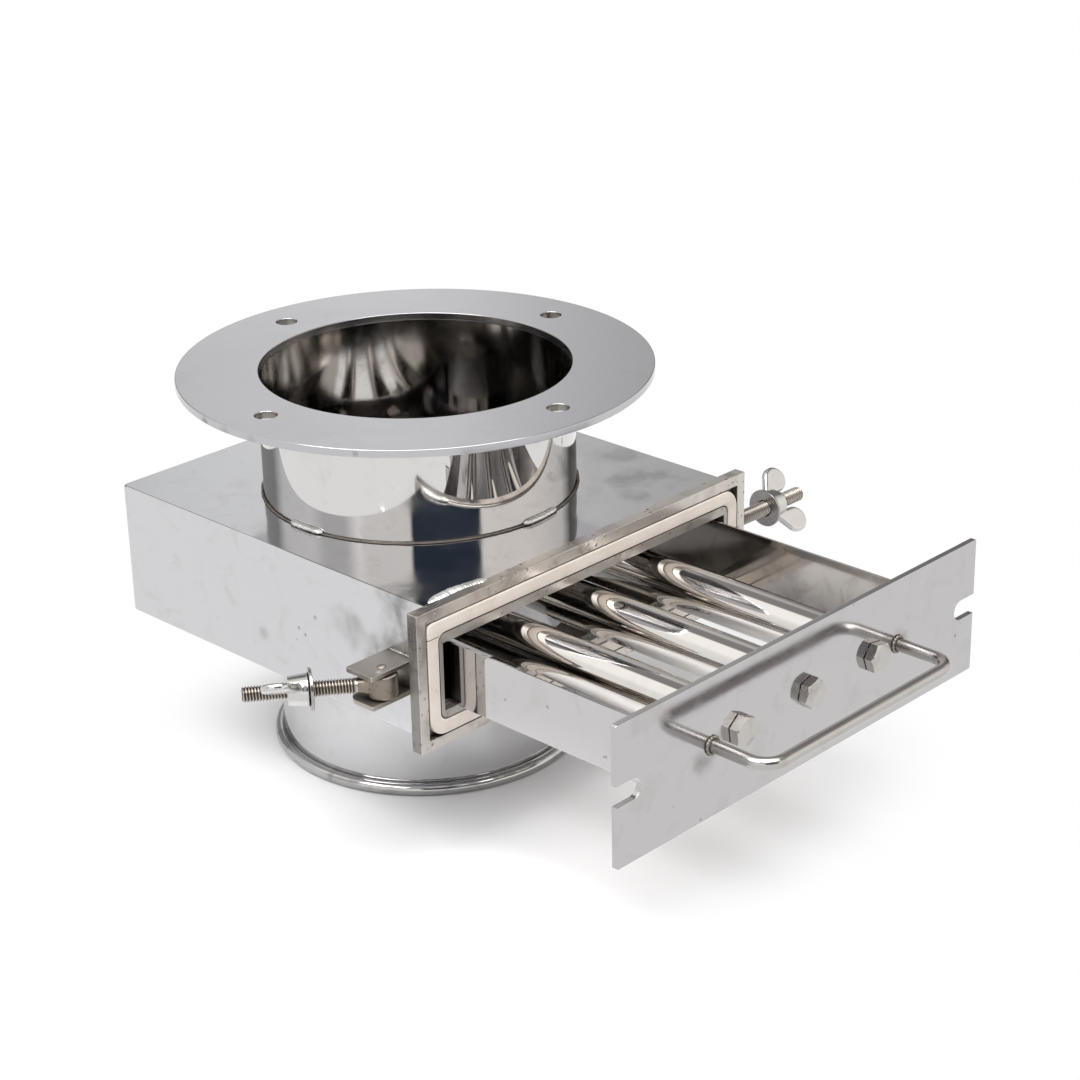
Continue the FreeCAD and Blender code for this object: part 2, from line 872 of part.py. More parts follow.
def make_tube_inside(side, step):
    """The magnet discs of one tube and the steel pole pieces between them."""
    count = int(cells.magnet_count.value)
    stack = cells.drawer_length - cells.drawer_sheet - cells.plug_length * 2
    magnet = (stack - cells.pole_thickness * (count - 1)) / count
    start = plate_back + cells.plug_length
    pitch = magnet + cells.pole_thickness
    magnets = make_disc_row("magnets_" + side, count, magnet, start, pitch, step)
    poles = make_disc_row("pole_pieces_" + side, count - 1, cells.pole_thickness, start + magnet,
                          pitch, step)
    return [magnets, poles]


def place_on_latch(body, side, sign):
    """Stand a piece on a swing bolt's pivot, with the body's X axis along the bolt."""
    swing = cells.left_swing_angle if side == "left" else cells.right_swing_angle
    body.Placement = Placement(Vector(0, 0, 0), Rotation(Vector(0, 0, 1), swing.value))
    bind(body, "Placement.Rotation.Angle", swing)
    place(body, sign * pivot_side, pivot_front, latch_centre)


def washer_start(side):
    """How far along its swing bolt a side's washer begins."""
    return cells.left_washer_place if side == "left" else cells.right_washer_place


def make_swing_bolt(side, sign):
    """The eye bolt that swings on the clevis pin: an upright eye, a neck and a long shank."""
    body = new_body("swing_bolt_" + side)
    place_on_latch(body, side, sign)
    eye = new_sketch(body, "eye", "XY_Plane", -cells.eye_height / 2)
    draw_circle(eye, cells.eye_diameter / 2)
    pad(body, "barrel", eye, cells.eye_height)
    profile = new_sketch(body, "profile", "XZ_Plane")
    thread = cells.bolt_diameter / 2
    neck = cells.neck_diameter / 2
    root = cells.eye_diameter / 4
    edge = cells.eye_diameter / 2
    point = cells.swing_point
    draw_outline(profile, [
        (root, 0),
        (cells.swing_length, 0),
        (cells.swing_length, thread - point),
        (cells.swing_length - point, thread),
        (cells.neck_end, thread),
        (edge, neck - cells.neck_taper),
        (root, neck),
    ])
    turn(body, "shank", profile, "H_Axis")
    hole = new_sketch(body, "hole", "XY_Plane", -cells.eye_height / 2)
    draw_circle(hole, pin_hole_radius)
    cut(body, "pin_hole", hole, cells.eye_height, True)
    return body


def make_washer(side, sign):
    """The flat washer under the wing nut."""
    body = new_body("washer_" + side)
    place_on_latch(body, side, sign)
    ring = new_sketch(body, "ring", "YZ_Plane", washer_start(side))
    draw_circle(ring, cells.washer_diameter / 2)
    draw_circle(ring, bolt_hole_radius)
    pad(body, "disc", ring, cells.washer_thickness)
    return body


def make_wing_nut(side, sign):
    """The wing nut: a tapered hub and two round ears that flare away from the washer."""
    body = new_body("wing_nut_" + side)
    place_on_latch(body, side, sign)
    start = washer_start(side) + cells.washer_thickness
    end = start + cells.nut_height
    bore = thread_bore_radius
    profile = new_sketch(body, "profile", "XZ_Plane")
    draw_outline(profile, [
        (start, bore),
        (end, bore),
        (end, cells.nut_top / 2),
        (start, cells.nut_base / 2),
    ])
    turn(body, "hub", profile, "H_Axis")
    lean = cells.left_wing_angle if side == "left" else cells.right_wing_angle
    wing = new_sketch(body, "wing", "XZ_Plane")
    wing.AttachmentOffset = Placement(Vector(0, 0, 0), Rotation(Vector(1, 0, 0), lean.value))
    bind(wing, "AttachmentOffset.Rotation.Angle", lean)
    radius = cells.wing_radius
    far = start + cells.wing_height - radius
    high = cells.wing_span / 2 - radius
    root = cells.wing_root
    draw_outline(wing, [
        (start + root, bore + root),
        (end - root, bore + root),
        (end - root, cells.nut_top / 2),
        (far, high - radius, Arc(far, high, 1, hold_x=True)),
        (far, high + radius),
        (start + cells.wing_heel, cells.nut_base / 2 + cells.wing_heel_rise),
    ])
    first = pad(body, "ear", wing, cells.wing_thickness)
    first.SideType = "Symmetric"
    repeat_round(body, "ears", first, 2, "X_Axis")
    return body


nodes.append(make_inlet_flange())
nodes.append(make_inlet_spout())
nodes.append(make_outlet_spout())
nodes.append(make_housing_wall())
nodes.append(make_housing_plate("housing_top", housing_top_face - cells.housing_sheet,
                                cells.inlet_bore))
nodes.append(make_housing_plate("housing_bottom", cells.outlet_height, cells.outlet_bore))
nodes.append(make_mouth_frame())
nodes.append(make_mouth_rim())
nodes.append(make_mouth_gasket())
nodes.append(make_drawer_frame())
nodes.append(make_front_plate())
nodes.append(make_handle())
for side, sign in SIDES:
    nodes.append(make_runner(side, sign))
    nodes.append(make_clevis(side, sign))
    nodes.append(make_clevis_pin(side, sign))
    nodes.append(make_swing_bolt(side, sign))
    nodes.append(make_washer(side, sign))
    nodes.append(make_wing_nut(side, sign))
for side, step in TUBES:
    nodes.append(make_hex_bolt("front_bolt_" + side, step, plate_back - cells.plate_thickness, -1))
    nodes.append(make_hex_bolt("rear_bolt_" + side, step, drawer_rear, 1))
    nodes.append(make_tube_sleeve(side, step))
    nodes.append(make_tube_plug("front", side, step, plate_back))
    nodes.append(make_tube_plug("rear", side, step,
                                drawer_rear - cells.drawer_sheet - cells.plug_length))
    nodes.extend(make_tube_inside(side, step))

doc.recompute()
for thing in doc.Objects:
    for state in thing.State:
        if state in ("Invalid", "Error"):
            raise RuntimeError(thing.Name + " is " + state)
for node in nodes:
    if node.Shape.isNull() or not node.Shape.isValid():
        raise RuntimeError(node.Label + " has no valid shape")
for node in nodes:
    node.Shape.exportStep("parts/" + node.Label + ".step")
print(len(nodes), "sub-parts written")
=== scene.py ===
"""The drawer magnet's looks: its dressed pieces, metals, floor, lamps and camera.

Lengths are in millimetres in the part's own frame, until new_mesh, plate or a material turns
them into metres. The drawer opens towards -Y, the chute is the Z axis and the left is -X.
"""
import math

import bmesh
import bpy
import numpy as np
from mathutils import Matrix, Vector
from mathutils.geometry import convex_hull_2d


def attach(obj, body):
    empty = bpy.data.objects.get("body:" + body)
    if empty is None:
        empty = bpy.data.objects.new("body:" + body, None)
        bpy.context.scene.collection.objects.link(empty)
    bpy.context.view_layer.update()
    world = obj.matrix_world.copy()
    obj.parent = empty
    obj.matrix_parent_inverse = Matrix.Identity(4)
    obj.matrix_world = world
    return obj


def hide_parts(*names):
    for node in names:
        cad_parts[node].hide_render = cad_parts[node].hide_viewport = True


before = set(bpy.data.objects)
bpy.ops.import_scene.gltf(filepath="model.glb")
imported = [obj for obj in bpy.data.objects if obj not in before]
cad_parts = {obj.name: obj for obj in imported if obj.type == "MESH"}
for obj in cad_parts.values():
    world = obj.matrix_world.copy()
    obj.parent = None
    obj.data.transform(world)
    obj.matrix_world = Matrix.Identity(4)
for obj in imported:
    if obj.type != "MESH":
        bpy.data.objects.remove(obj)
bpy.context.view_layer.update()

MM = 0.001
SIDES = (("left", -1), ("right", 1))
TUBES = (("left", -1), ("centre", 0), ("right", 1))

# Sizes that the dressed pieces share with the solids
BORE = 100.0
SPOUT_OUTSIDE = 101.5
OUTLET_BORE = 96.5
OUTLET_OUTSIDE = 98.0
HOUSING_HALF = 133.0
HOUSING_REAR = 143.5
HOUSING_BOTTOM = 87.0
HOUSING_TOP = 176.0
SHEET = 3.0
FRAME_BACK = -142.5
FLANGE_BOTTOM = 252.6
FLANGE_TOP = 257.6
PLATE_BACK = -316.3
PLATE_FRONT = -320.3
DRAWER_HALF = 120.5
DRAWER_INSIDE = 119.0
DRAWER_REAR = -36.3
REAR_INSIDE = -37.8
DRAWER_BOTTOM = 111.5
DRAWER_TOP = 151.5
TUBE_HEIGHT = 131.5
TUBE_PITCH = 62.0
LATCH_HEIGHT = 128.7
PIVOT_SIDE = 152.8
PIVOT_FRONT = -124.8
SWING_LENGTH = 82.0
SWING_TURN = {"left": 142.0, "right": -1.5}
WASHER_START = {"left": 41.0, "right": 45.5}
WASHER_LEAN = {"left": 3.0, "right": 2.0}
WING_LEAN = {"left": -56.5, "right": -39.0}
THREAD_RADIUS = 5.0
THREAD_ROOT = 4.0
THREAD_PITCH = 1.8


# Shapes as points and faces

def even_turn(sides):
    """The angles of some even steps round one full turn."""
    return np.linspace(0, 2 * math.pi, sides, endpoint=False)


def unit(vectors):
    """Vectors of length one in the same directions."""
    return vectors / np.linalg.norm(vectors, axis=1)[:, None]


def ring_faces(rows, sides, closed):
    """The four-sided faces between rows of points that run round an axis."""
    faces = []
    for row in range(rows if closed else rows - 1):
        after = (row + 1) % rows
        for side in range(sides):
            beside = (side + 1) % sides
            faces.append((row * sides + side, row * sides + beside,
                          after * sides + beside, after * sides + side))
    return faces


def tube_faces(rows, sides, closed=False):
    """The faces of a tube of rows of points, with a flat face at each end unless it is closed."""
    faces = ring_faces(rows, sides, closed)
    if not closed:
        faces.append(tuple(range(sides))[::-1])
        faces.append(tuple(range((rows - 1) * sides, rows * sides)))
    return faces


def revolve(profile, sides, closed=True):
    """A profile of (radius, height) points turned about Z."""
    angles = even_turn(sides)
    rim = np.stack([np.cos(angles), np.sin(angles)], 1)
    rows = [np.column_stack([rim * radius, np.full(sides, height)]) for radius, height in profile]
    return np.concatenate(rows), tube_faces(len(profile), sides, closed)


def arc(centre, radius, start, end, steps):
    """Points on an arc in a plane, with its angles in degrees."""
    angles = np.radians(np.linspace(start, end, steps + 1))
    return [(centre[0] + radius * math.cos(a), centre[1] + radius * math.sin(a)) for a in angles]


def round_corners(corners, steps=6):
    """An outline of (x, y, radius) corners as points, each corner rounded by its radius."""
    points = []
    for index, (x, y, radius) in enumerate(corners):
        here = Vector((x, y))
        before = (Vector(corners[index - 1][:2]) - here).normalized()
        after = (Vector(corners[(index + 1) % len(corners)][:2]) - here).normalized()
        if radius <= 0:
            points.append(tuple(here))
            continue
        half = before.angle(after) / 2
        reach = radius / math.tan(half)
        centre = here + (before + after).normalized() * (radius / math.sin(half))
        start = here + before * reach - centre
        end = here + after * reach - centre
        turn = start.angle_signed(end)
        for step in range(steps + 1):
            spot = start.copy()
            spot.rotate(Matrix.Rotation(-turn * step / steps, 2))
            points.append(tuple(centre + spot))
    return points


def rectangle(left, bottom, right, top, radius=0.0):
    """A rectangle's outline with round corners."""
    return round_corners([(left, bottom, radius), (right, bottom, radius),
                          (right, top, radius), (left, top, radius)])


def circle(radius, steps, x=0.0, y=0.0):
    """A circle as an outline."""
    return arc((x, y), radius, 0, 360 - 360 / steps, steps - 1)


def around(radius, z, start=0, end=359.5, steps=720):
    """A path on a circle about the chute, with its angles in degrees."""
    return [(x, y, z) for x, y in arc((0, 0), radius, start, end, steps)]


def sweep(path, radius, sides, closed=False, flat=1.0, up=(0, 0, 1)):
    """A round bar along a path; radius is one number or one for each point of the path."""
    path = np.asarray(path, float)
    radii = np.broadcast_to(np.asarray(radius, float), (len(path),))
    along = np.roll(path, -1, 0) - np.roll(path, 1, 0) if closed else np.gradient(path, axis=0)
    along = unit(along)
    beside = unit(np.cross(along, up))
    above = np.cross(beside, along)
    angles = even_turn(sides)
    ring = (np.cos(angles)[None, :, None] * beside[:, None, :]
            + flat * np.sin(angles)[None, :, None] * above[:, None, :])
    points = (path[:, None, :] + ring * radii[:, None, None]).reshape(-1, 3)
    return points, tube_faces(len(path), sides, closed)


def bead(path, radius, ripple, seed, closed=False, flat=0.7, pitch=2.2, up=(0, 0, 1)):
    """A weld bead: a flattened bar whose thickness ripples from one pool to the next."""
    path = np.asarray(path, float)
    steps = np.linalg.norm(np.diff(path, axis=0), axis=1)
    run = np.concatenate([[0], np.cumsum(steps)])
    wander = np.random.default_rng(seed).normal(0, 1, int(run[-1] / pitch) + 4)
    level = np.interp(run / pitch, np.arange(len(wander)), wander)
    radii = radius * (1 + ripple * np.abs(np.sin(math.pi * run / pitch)) + 0.5 * ripple * level)
    if not closed:
        ends = np.minimum(run, run[-1] - run) / (2 * radius)
        radii = radii * np.sqrt(np.clip(ends, 0.02, 1))
    return sweep(path, radii, 12, closed, flat, up)


def join(*shapes):
    """Several shapes as one."""
    faces, count = [], 0
    for points, own_faces in shapes:
        faces += [tuple(index + count for index in face) for face in own_faces]
        count += len(points)
    return np.concatenate([points for points, own_faces in shapes]), faces


def shift(x=0.0, y=0.0, z=0.0):
    """The matrix of a shift."""
    return Matrix.Translation((x, y, z))


def rotation(degrees, axis):
    """The matrix of a turn about an axis."""
    return Matrix.Rotation(math.radians(degrees), 4, axis)


def on_y(x=0.0, y=0.0, z=0.0):
    """The matrix that stands a flat shape up, with its Z axis along -Y."""
    return shift(x, y, z) @ rotation(90, "X")


def latch_pivot(sign):
    """The middle of a latch's pin."""
    return Vector((sign * PIVOT_SIDE, PIVOT_FRONT, LATCH_HEIGHT))


def on_latch(side, sign):
    """The matrix that lays a shape's X axis along a swing bolt, from its pivot."""
    return shift(*latch_pivot(sign)) @ rotation(SWING_TURN[side], "Z")


def moved(shape, matrix):
    """A shape after a turn and a shift."""
    turn = np.array(matrix, float)
    return shape[0] @ turn[:3, :3].T + turn[:3, 3], shape[1]


def new_object(name, data):
    """An object in the scene."""
    thing = bpy.data.objects.new(name, data)
    bpy.context.scene.collection.objects.link(thing)
    return thing


def read_mesh(mesh):
    """A mesh's points and faces in millimetres."""
    points = np.zeros(len(mesh.vertices) * 3)
    mesh.vertices.foreach_get("co", points)
    return points.reshape(-1, 3) / MM, [tuple(face.vertices) for face in mesh.polygons]


def new_mesh(name, shape):
    """A mesh in metres from a shape in millimetres, with its faces turned outwards."""
    mesh = bpy.data.meshes.new(name)
    mesh.from_pydata((np.asarray(shape[0]) * MM).tolist(), [], shape[1])
    work = bmesh.new()
    work.from_mesh(mesh)
    bmesh.ops.remove_doubles(work, verts=work.verts, dist=1e-7)
    bmesh.ops.recalc_face_normals(work, faces=work.faces)
    work.to_mesh(mesh)
    work.free()
    return mesh


def plate(outlines, thickness, edge=0.4, steps=3):
    """A flat plate in the XY plane about z = 0; the first outline is its rim, the others holes."""
    curve = bpy.data.curves.new("plate", "CURVE")
    curve.dimensions = "2D"
    curve.fill_mode = "BOTH"
    curve.extrude = (thickness / 2 - edge) * MM
    curve.bevel_depth = edge * MM
    curve.bevel_resolution = steps
    curve.offset = -edge * MM
    for outline in outlines:
        spline = curve.splines.new("POLY")
        spline.points.add(len(outline) - 1)
        for point, (x, y) in zip(spline.points, outline):
            point.co = (x * MM, y * MM, 0, 1)
        spline.use_cyclic_u = True
    holder = bpy.data.objects.new("plate", curve)
    mesh = bpy.data.meshes.new_from_object(holder)
    shape = read_mesh(mesh)
    bpy.data.objects.remove(holder)
    bpy.data.meshes.remove(mesh)
    return shape


def cast(shape, voxel, rounds):
    """Melt overlapping closed shapes into one skin with soft inner corners, as in a casting."""
    holder = new_object("cast", new_mesh("cast", shape))
    melt = holder.modifiers.new("melt", "REMESH")
    melt.mode = "VOXEL"
    melt.voxel_size = voxel * MM
    soften = holder.modifiers.new("soften", "SMOOTH")
    soften.factor = 0.5
    soften.iterations = rounds
    made = bpy.data.meshes.new_from_object(holder.evaluated_get(bpy.context.evaluated_depsgraph_get()))
    result = read_mesh(made)
    bpy.data.objects.remove(holder)
    bpy.data.meshes.remove(made)
    return result


def piece(name, shape, material, replaces=(), body="housing", crease=32, even=False):
    """Make an object of the part from a shape, smooth except at its creases."""
    mesh = new_mesh(name, shape)
    mesh.shade_smooth()
    mesh.set_sharp_from_angle(angle=math.radians(crease))
    mesh.materials.append(material)
    thing = new_object(name, mesh)
    if even:
        level = thing.modifiers.new("even", "WEIGHTED_NORMAL")
        level.keep_sharp = True
        level.weight = 100
    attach(thing, body)
    if replaces:
        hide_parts(*replaces)
    return thing


def weld(name, beads, material, body="housing"):
    """A piece made of weld beads."""
    piece(name, join(*beads), material, body=body)


def repaint(thing, material, chosen):
    """Give a second material to the faces whose centres, in millimetres, are chosen."""
    thing.data.materials.append(material)
    for face in thing.data.polygons:
        if chosen(face.center / MM):
            face.material_index = 1


# Materials

def grey(level, warmth=0.0, lilac=0.0):
    """A linear grey, a little warmer or cooler, and with less green where it is lilac."""
    return (level * (1 + warmth), level * (1 - lilac), level * (1 - warmth), 1.0)


class Paint:
    """Short calls that build the nodes of one material or world."""

    def __init__(self, owner):
        self.owner = owner
        owner.use_nodes = True
        self.tree = owner.node_tree
        self.tree.nodes.clear()
        self.coordinates = self.node("TexCoord").outputs
        self.place = self.coordinates["Object"]

    def node(self, kind, inputs=None, **settings):
        """A shader node with its settings, each input linked or given its value."""
        made = self.tree.nodes.new("ShaderNode" + kind)
        for name, value in settings.items():
            setattr(made, name, value)
        for name, value in (inputs or {}).items():
            if isinstance(value, bpy.types.NodeSocket):
                self.tree.links.new(value, made.inputs[name])
            else:
                made.inputs[name].default_value = value
        return made

    def noise(self, scale, detail=3.0, stretch=None, rough=0.55, warp=0.0):
        """Cloudy noise over the piece, stretched along its axes where that is asked for."""
        place = self.place
        if stretch:
            place = self.node("Mapping", {"Vector": place, "Scale": stretch}).outputs[0]
        inputs = {"Vector": place, "Scale": scale, "Detail": detail, "Roughness": rough,
                  "Distortion": warp}
        return self.node("TexNoise", inputs).outputs["Fac"]

    def cells(self, scale):
        """How far a point is from the middle of its cell."""
        return self.node("TexVoronoi", {"Vector": self.place, "Scale": scale}).outputs["Distance"]

    def ramp(self, value, low, high, to_low=0.0, to_high=1.0, kind="SMOOTHSTEP"):
        """A value led from one range to another."""
        inputs = {"Value": value, "From Min": low, "From Max": high, "To Min": to_low,
                  "To Max": to_high}
        return self.node("MapRange", inputs, interpolation_type=kind).outputs["Result"]

    def math(self, operation, *values):
        """A sum, product or other number."""
        return self.node("Math", dict(enumerate(values)), operation=operation).outputs[0]

    def times(self, first, *others):
        """The product of some numbers."""
        for other in others:
            first = self.math("MULTIPLY", first, other)
        return first

    def vector(self, operation, first, second=None):
        """A vector, or its length or distance; second is the factor where it is scaled."""
        inputs = {0: first}
        if second is not None:
            inputs[3 if operation == "SCALE" else 1] = second
        made = self.node("VectorMath", inputs, operation=operation)
        return made.outputs["Value" if operation in ("LENGTH", "DISTANCE") else "Vector"]

    def split(self, vector):
        """A vector's three numbers."""
        return self.node("SeparateXYZ", {0: vector}).outputs

    def mix(self, share, first, second):
        """Two colours mixed."""
        return self.node("Mix", {0: share, 6: first, 7: second}, data_type="RGBA").outputs[2]

    def spots(self, centres):
        """How near a point is to any of some spots, each (x, y, z, radius) in millimetres.

        A fifth number makes a spot fainter.
        """
        nearest = None
        wander = self.noise(42.0, 3.0)
        for x, y, z, radius, *faint in centres:
            away = self.vector("DISTANCE", self.place, (x * MM, y * MM, z * MM))
            uneven = self.math("MULTIPLY_ADD", wander, 1.8 * radius * MM, -0.9 * radius * MM)
            away = self.math("ADD", away, uneven)
            near = self.ramp(away, 0.15 * radius * MM, radius * MM, faint[0] if faint else 1.0, 0.0)
            nearest = self.math("MAXIMUM", nearest, near) if nearest else near
        return nearest

    def crevice(self, reach):
        """How enclosed a point is by the shape around it, 0 in the open."""
        inputs = {"Distance": reach * MM}
        open_sky = self.node("AmbientOcclusion", inputs, samples=8).outputs["AO"]
        return self.ramp(open_sky, 0.35, 0.95, 1.0, 0.0)

    def bump(self, height, distance, after=None):
        """A normal bent by a height, on top of another bent normal."""
        inputs = {"Height": height, "Distance": distance * MM, "Strength": 1.0}
        if after:
            inputs["Normal"] = after
        return self.node("Bump", inputs).outputs["Normal"]

    def show(self, shader, output="OutputMaterial"):
        """Put a shader on what is painted, and give that back."""
        self.tree.links.new(shader.outputs[0], self.node(output).inputs["Surface"])
        return self.owner


class Steel(Paint):
    """A bare steel, clouded and faintly stained, with one method for each of its faults and for the shade and
    highlights painted on it.
    """

    # Some of these paint shade and light rather than faults.
    FAULTS_AND_SHADES = ("sides", "depth", "specks", "marks", "wave", "pucker", "pits", "grain", "soil")

    def __init__(self, name, colour, stain, rough, stains, stretch):
        super().__init__(bpy.data.materials.new(name))
        self.smear = self.noise(46.0, 4.0, warp=0.8)
        stained = self.times(self.ramp(self.smear, 0.5, 0.78), stains)
        self.colour = self.mix(stained, grey(*colour), grey(*stain))
        self.roughness = self.ramp(self.noise(13.0, 5.0, warp=0.4), 0.36, 0.68, *rough)
        self.fine = self.noise(420.0, 3.0, stretch)
        self.roughen(self.ramp(self.fine, 0.35, 0.75, -0.01, 0.02))
        self.normal = None

    def roughen(self, amount):
        """Add to the roughness."""
        self.roughness = self.math("ADD", self.roughness, amount)

    def dent(self, height, distance):
        """Bend the surface once more."""
        self.normal = self.bump(height, distance, self.normal)

    def cover(self, share, colour, rougher):
        """Lay a colour over a share of the surface and roughen that share."""
        self.colour = self.mix(share, self.colour, colour)
        self.roughen(self.times(share, rougher))

    def sides(self, factor):
        """Scale the colour of what faces left or right: painted shade where the factor is below one, painted
        light where it is above.
        """
        normal = self.node("NewGeometry").outputs["Normal"]
        aside = self.ramp(self.math("ABSOLUTE", self.split(normal)["X"]), 0.75, 0.97)
        self.colour = self.mix(aside, self.colour, self.vector("SCALE", self.colour, factor))

    def depth(self, share):
        """Paint shade into a thread between its crests, from the depth stored on its points."""
        root = self.node("Attribute", attribute_name="depth").outputs["Fac"]
        self.colour = self.mix(self.ramp(root, 0.25, 0.95, 0.0, share), self.colour, ROOT_SHADE)

    def specks(self, share):
        """Sprinkle a few small dark specks."""
        small = self.ramp(self.cells(95.0), 0.03, 0.07, 1.0, 0.0)
        rare = self.ramp(self.noise(60.0, 1.0), 0.64, 0.68)
        self.cover(self.times(small, rare, share), SPECK_DARK, 0.3)

    def marks(self, centres, colour, share):
        """Lay soft marks of one colour on some spots; a bright one on the clevis is a painted highlight."""
        patchy = self.ramp(self.smear, 0.3, 0.6, 0.35, 1.0)
        self.cover(self.times(self.spots(centres), patchy, share), grey(*colour), 0.2)

    def wave(self, distance, scale):
        """Let the sheet wave."""
        self.dent(self.noise(scale, 1.5, rough=0.4), distance)

    def grain(self, distance):
        """Draw a fine grain."""
        self.dent(self.fine, distance)

    def pucker(self, distance):
        """Bend the sheet near the spout's foot, where the weld has drawn it."""
        away = self.vector("LENGTH", self.vector("MULTIPLY", self.place, (1.0, 1.0, 0.0)))
        near = self.ramp(away, 104 * MM, 122 * MM, 1.0, 0.0)
        self.dent(self.times(self.noise(55.0, 2.0), near), distance)

    def pits(self, distance):
        """Sink small dark pits in patches."""
        level = self.ramp(self.cells(230.0), 0.08, 0.34)
        here = self.ramp(self.noise(70.0, 3.0), 0.48, 0.60)
        sunk = self.times(here, self.math("SUBTRACT", 1.0, level))
        self.dent(self.math("SUBTRACT", 1.0, sunk), distance)
        self.colour = self.mix(self.times(sunk, 0.7), self.colour, PIT_DARK)

    def soil(self, share, reach):
        """Lay painted shade with brown grime in the crevices, where the shape encloses a point."""
        patchy = self.ramp(self.smear, 0.25, 0.6, 0.6, 1.0)
        self.cover(self.times(self.crevice(reach), share, patchy), CREVICE_SHADE_AND_SOIL, 0.3)


# Colour of the painted shade in a thread's roots
ROOT_SHADE = grey(0.03, 0.1)
SPECK_DARK = grey(0.05, 0.1)
PIT_DARK = grey(0.12, 0.1)
# Colour of the painted shade and grime in crevices
CREVICE_SHADE_AND_SOIL = (0.035, 0.028, 0.02, 1.0)


def metal(name, colour, stain, rough, stains=0.5, stretch=None, **faults):
    """A bare steel with the faults that are asked for, each by what its method takes; some of these paint
    shade and light.

    Colours are what grey takes. rough is the roughness from clear to clouded, stains the most that
    stain takes of colour, and stretch draws out the grain.
    """
    steel = Steel(name, colour, stain, rough, stains, stretch)
    for fault in Steel.FAULTS_AND_SHADES:
        if fault in faults:
            amounts = faults[fault]
            getattr(steel, fault)(*(amounts if isinstance(amounts, tuple) else (amounts,)))
    inputs = {"Base Color": steel.colour, "Roughness": steel.roughness, "Metallic": 1.0}
    if steel.normal:
        inputs["Normal"] = steel.normal
    return steel.show(steel.node("BsdfPrincipled", inputs))


# Spots as (x, y, z, radius), and a fifth number that makes one fainter
housing_marks = [(-HOUSING_HALF, *spot) for spot in (
    (-112, 142, 24), (-98, 118, 20), (-120, 165, 20), (-76, 144, 20, 0.55), (-44, 139, 2.2),
    (-28, 127, 1.5), (-34, 124, 1.4), (-25, 118, 1.3), (8, 112.5, 7, 0.5), (-128, 150, 15),
    (-138, 158, 13), (-139, 140, 14))]
housing_marks += [(x, y, HOUSING_TOP, *size) for x, y, *size in (
    (-125, -120, 26), (112, -20, 28, 0.7), (98, -98, 24, 0.75), (122, -70, 22, 0.6),
    (118, 45, 26, 0.45), (70, -118, 16, 0.6))]
plate_marks = [(-86, -320, 130, 13), (-94, -320, 123, 15, 0.8), (88, -320, 132, 12),
               (41, -320, 172, 1.5), (146, -320, 114, 1.6), (-118, -320, 105, 1.3),
               (-95, -320, 87, 2.0)]
flange_marks = [(-150, 28, 253, 4.5, 0.6), (-152, 6, 253, 5.0, 0.6), (-151, -18, 254, 4.5, 0.5),
                (-128, -83, 255, 2.4, 0.5)]
frame_marks = [(-147.5, -151, 129, 2.2), (-147.5, -144, 93, 2.8), (-147.5, -149, 143, 1.4),
               (-141, -151, 152, 9, 0.5), (-140, -151, 104, 10, 0.5), (-98, -151, 168, 12, 0.4),
               (-30, -151, 171, 9, 0.45), (60, -151, 171, 11, 0.4), (112, -151, 172, 8, 0.5),
               (-147.5, -145, 170, 8, 0.5), (-60, -145, 181, 9, 0.5), (20, -145, 181, 10, 0.5)]
drawer_marks = [(-120.5, -272.7, 120, 2.0), (-120.5, -271.0, 119.5, 1.6),
                (-120.5, -194, 129, 1.6, 0.35), (-120.5, -228, 136, 1.4, 0.35)]
# A painted highlight on the upper ear beside the pin
clevis_glint = [(-159.0, -129.0, 139.7, 4.0)]
rod_marks = [(-85.5, -321, 130.5, 12), (85.5, -321, 130.5, 12)]

# In these metals the crevice amounts paint shade with grime, the side factors paint shade and light by
# facing, and the thread depth paints shade in its roots.
polished = metal(
    "polished_sheet", (0.67, 0.02), (0.5, 0.04), (0.025, 0.09), 0.3, wave=(0.1, 11.0), specks=0.3)
outlet_metal = metal(
    "polished_outlet", (0.57, -0.005, 0.01), (0.46, 0.02), (0.03, 0.1), 0.4, wave=(0.1, 11.0),
    specks=0.3)
# Its sides factor paints light on the faces turned left and right.
housing_metal = metal(
    "polished_housing", (0.6, -0.01, 0.012), (0.46, 0.02), (0.04, 0.15), 0.55, wave=(0.15, 10.0),
    marks=(housing_marks, (0.2,), 0.7), specks=0.3, sides=1.07, pucker=0.25)
satin = metal(
    "satin_flange", (0.53, -0.015, 0.02), (0.47, 0.0, 0.015), (0.16, 0.22), 0.3, wave=(0.02, 9.0),
    specks=0.4, marks=(flange_marks, (0.14, 0.04), 1.0))
plate_metal = metal(
    "satin_plate", (0.525, 0.01, 0.02), (0.45, 0.035, 0.01), (0.085, 0.13), 0.6, wave=(0.04, 16.0),
    grain=0.0006, stretch=(0.25, 1.0, 1.0), marks=(plate_marks, (0.16, 0.12), 0.65), specks=0.4)
drawer_metal = metal(
    "polished_drawer", (0.57, 0.01, 0.015), (0.47, 0.04), (0.03, 0.09), 0.4, wave=(0.07, 14.0),
    marks=(drawer_marks, (0.03,), 1.0), specks=0.25)
tube_metal = metal(
    "polished_tube", (0.66, 0.045), (0.5, 0.06), (0.02, 0.07), 0.3, wave=(0.02, 30.0), specks=0.3)
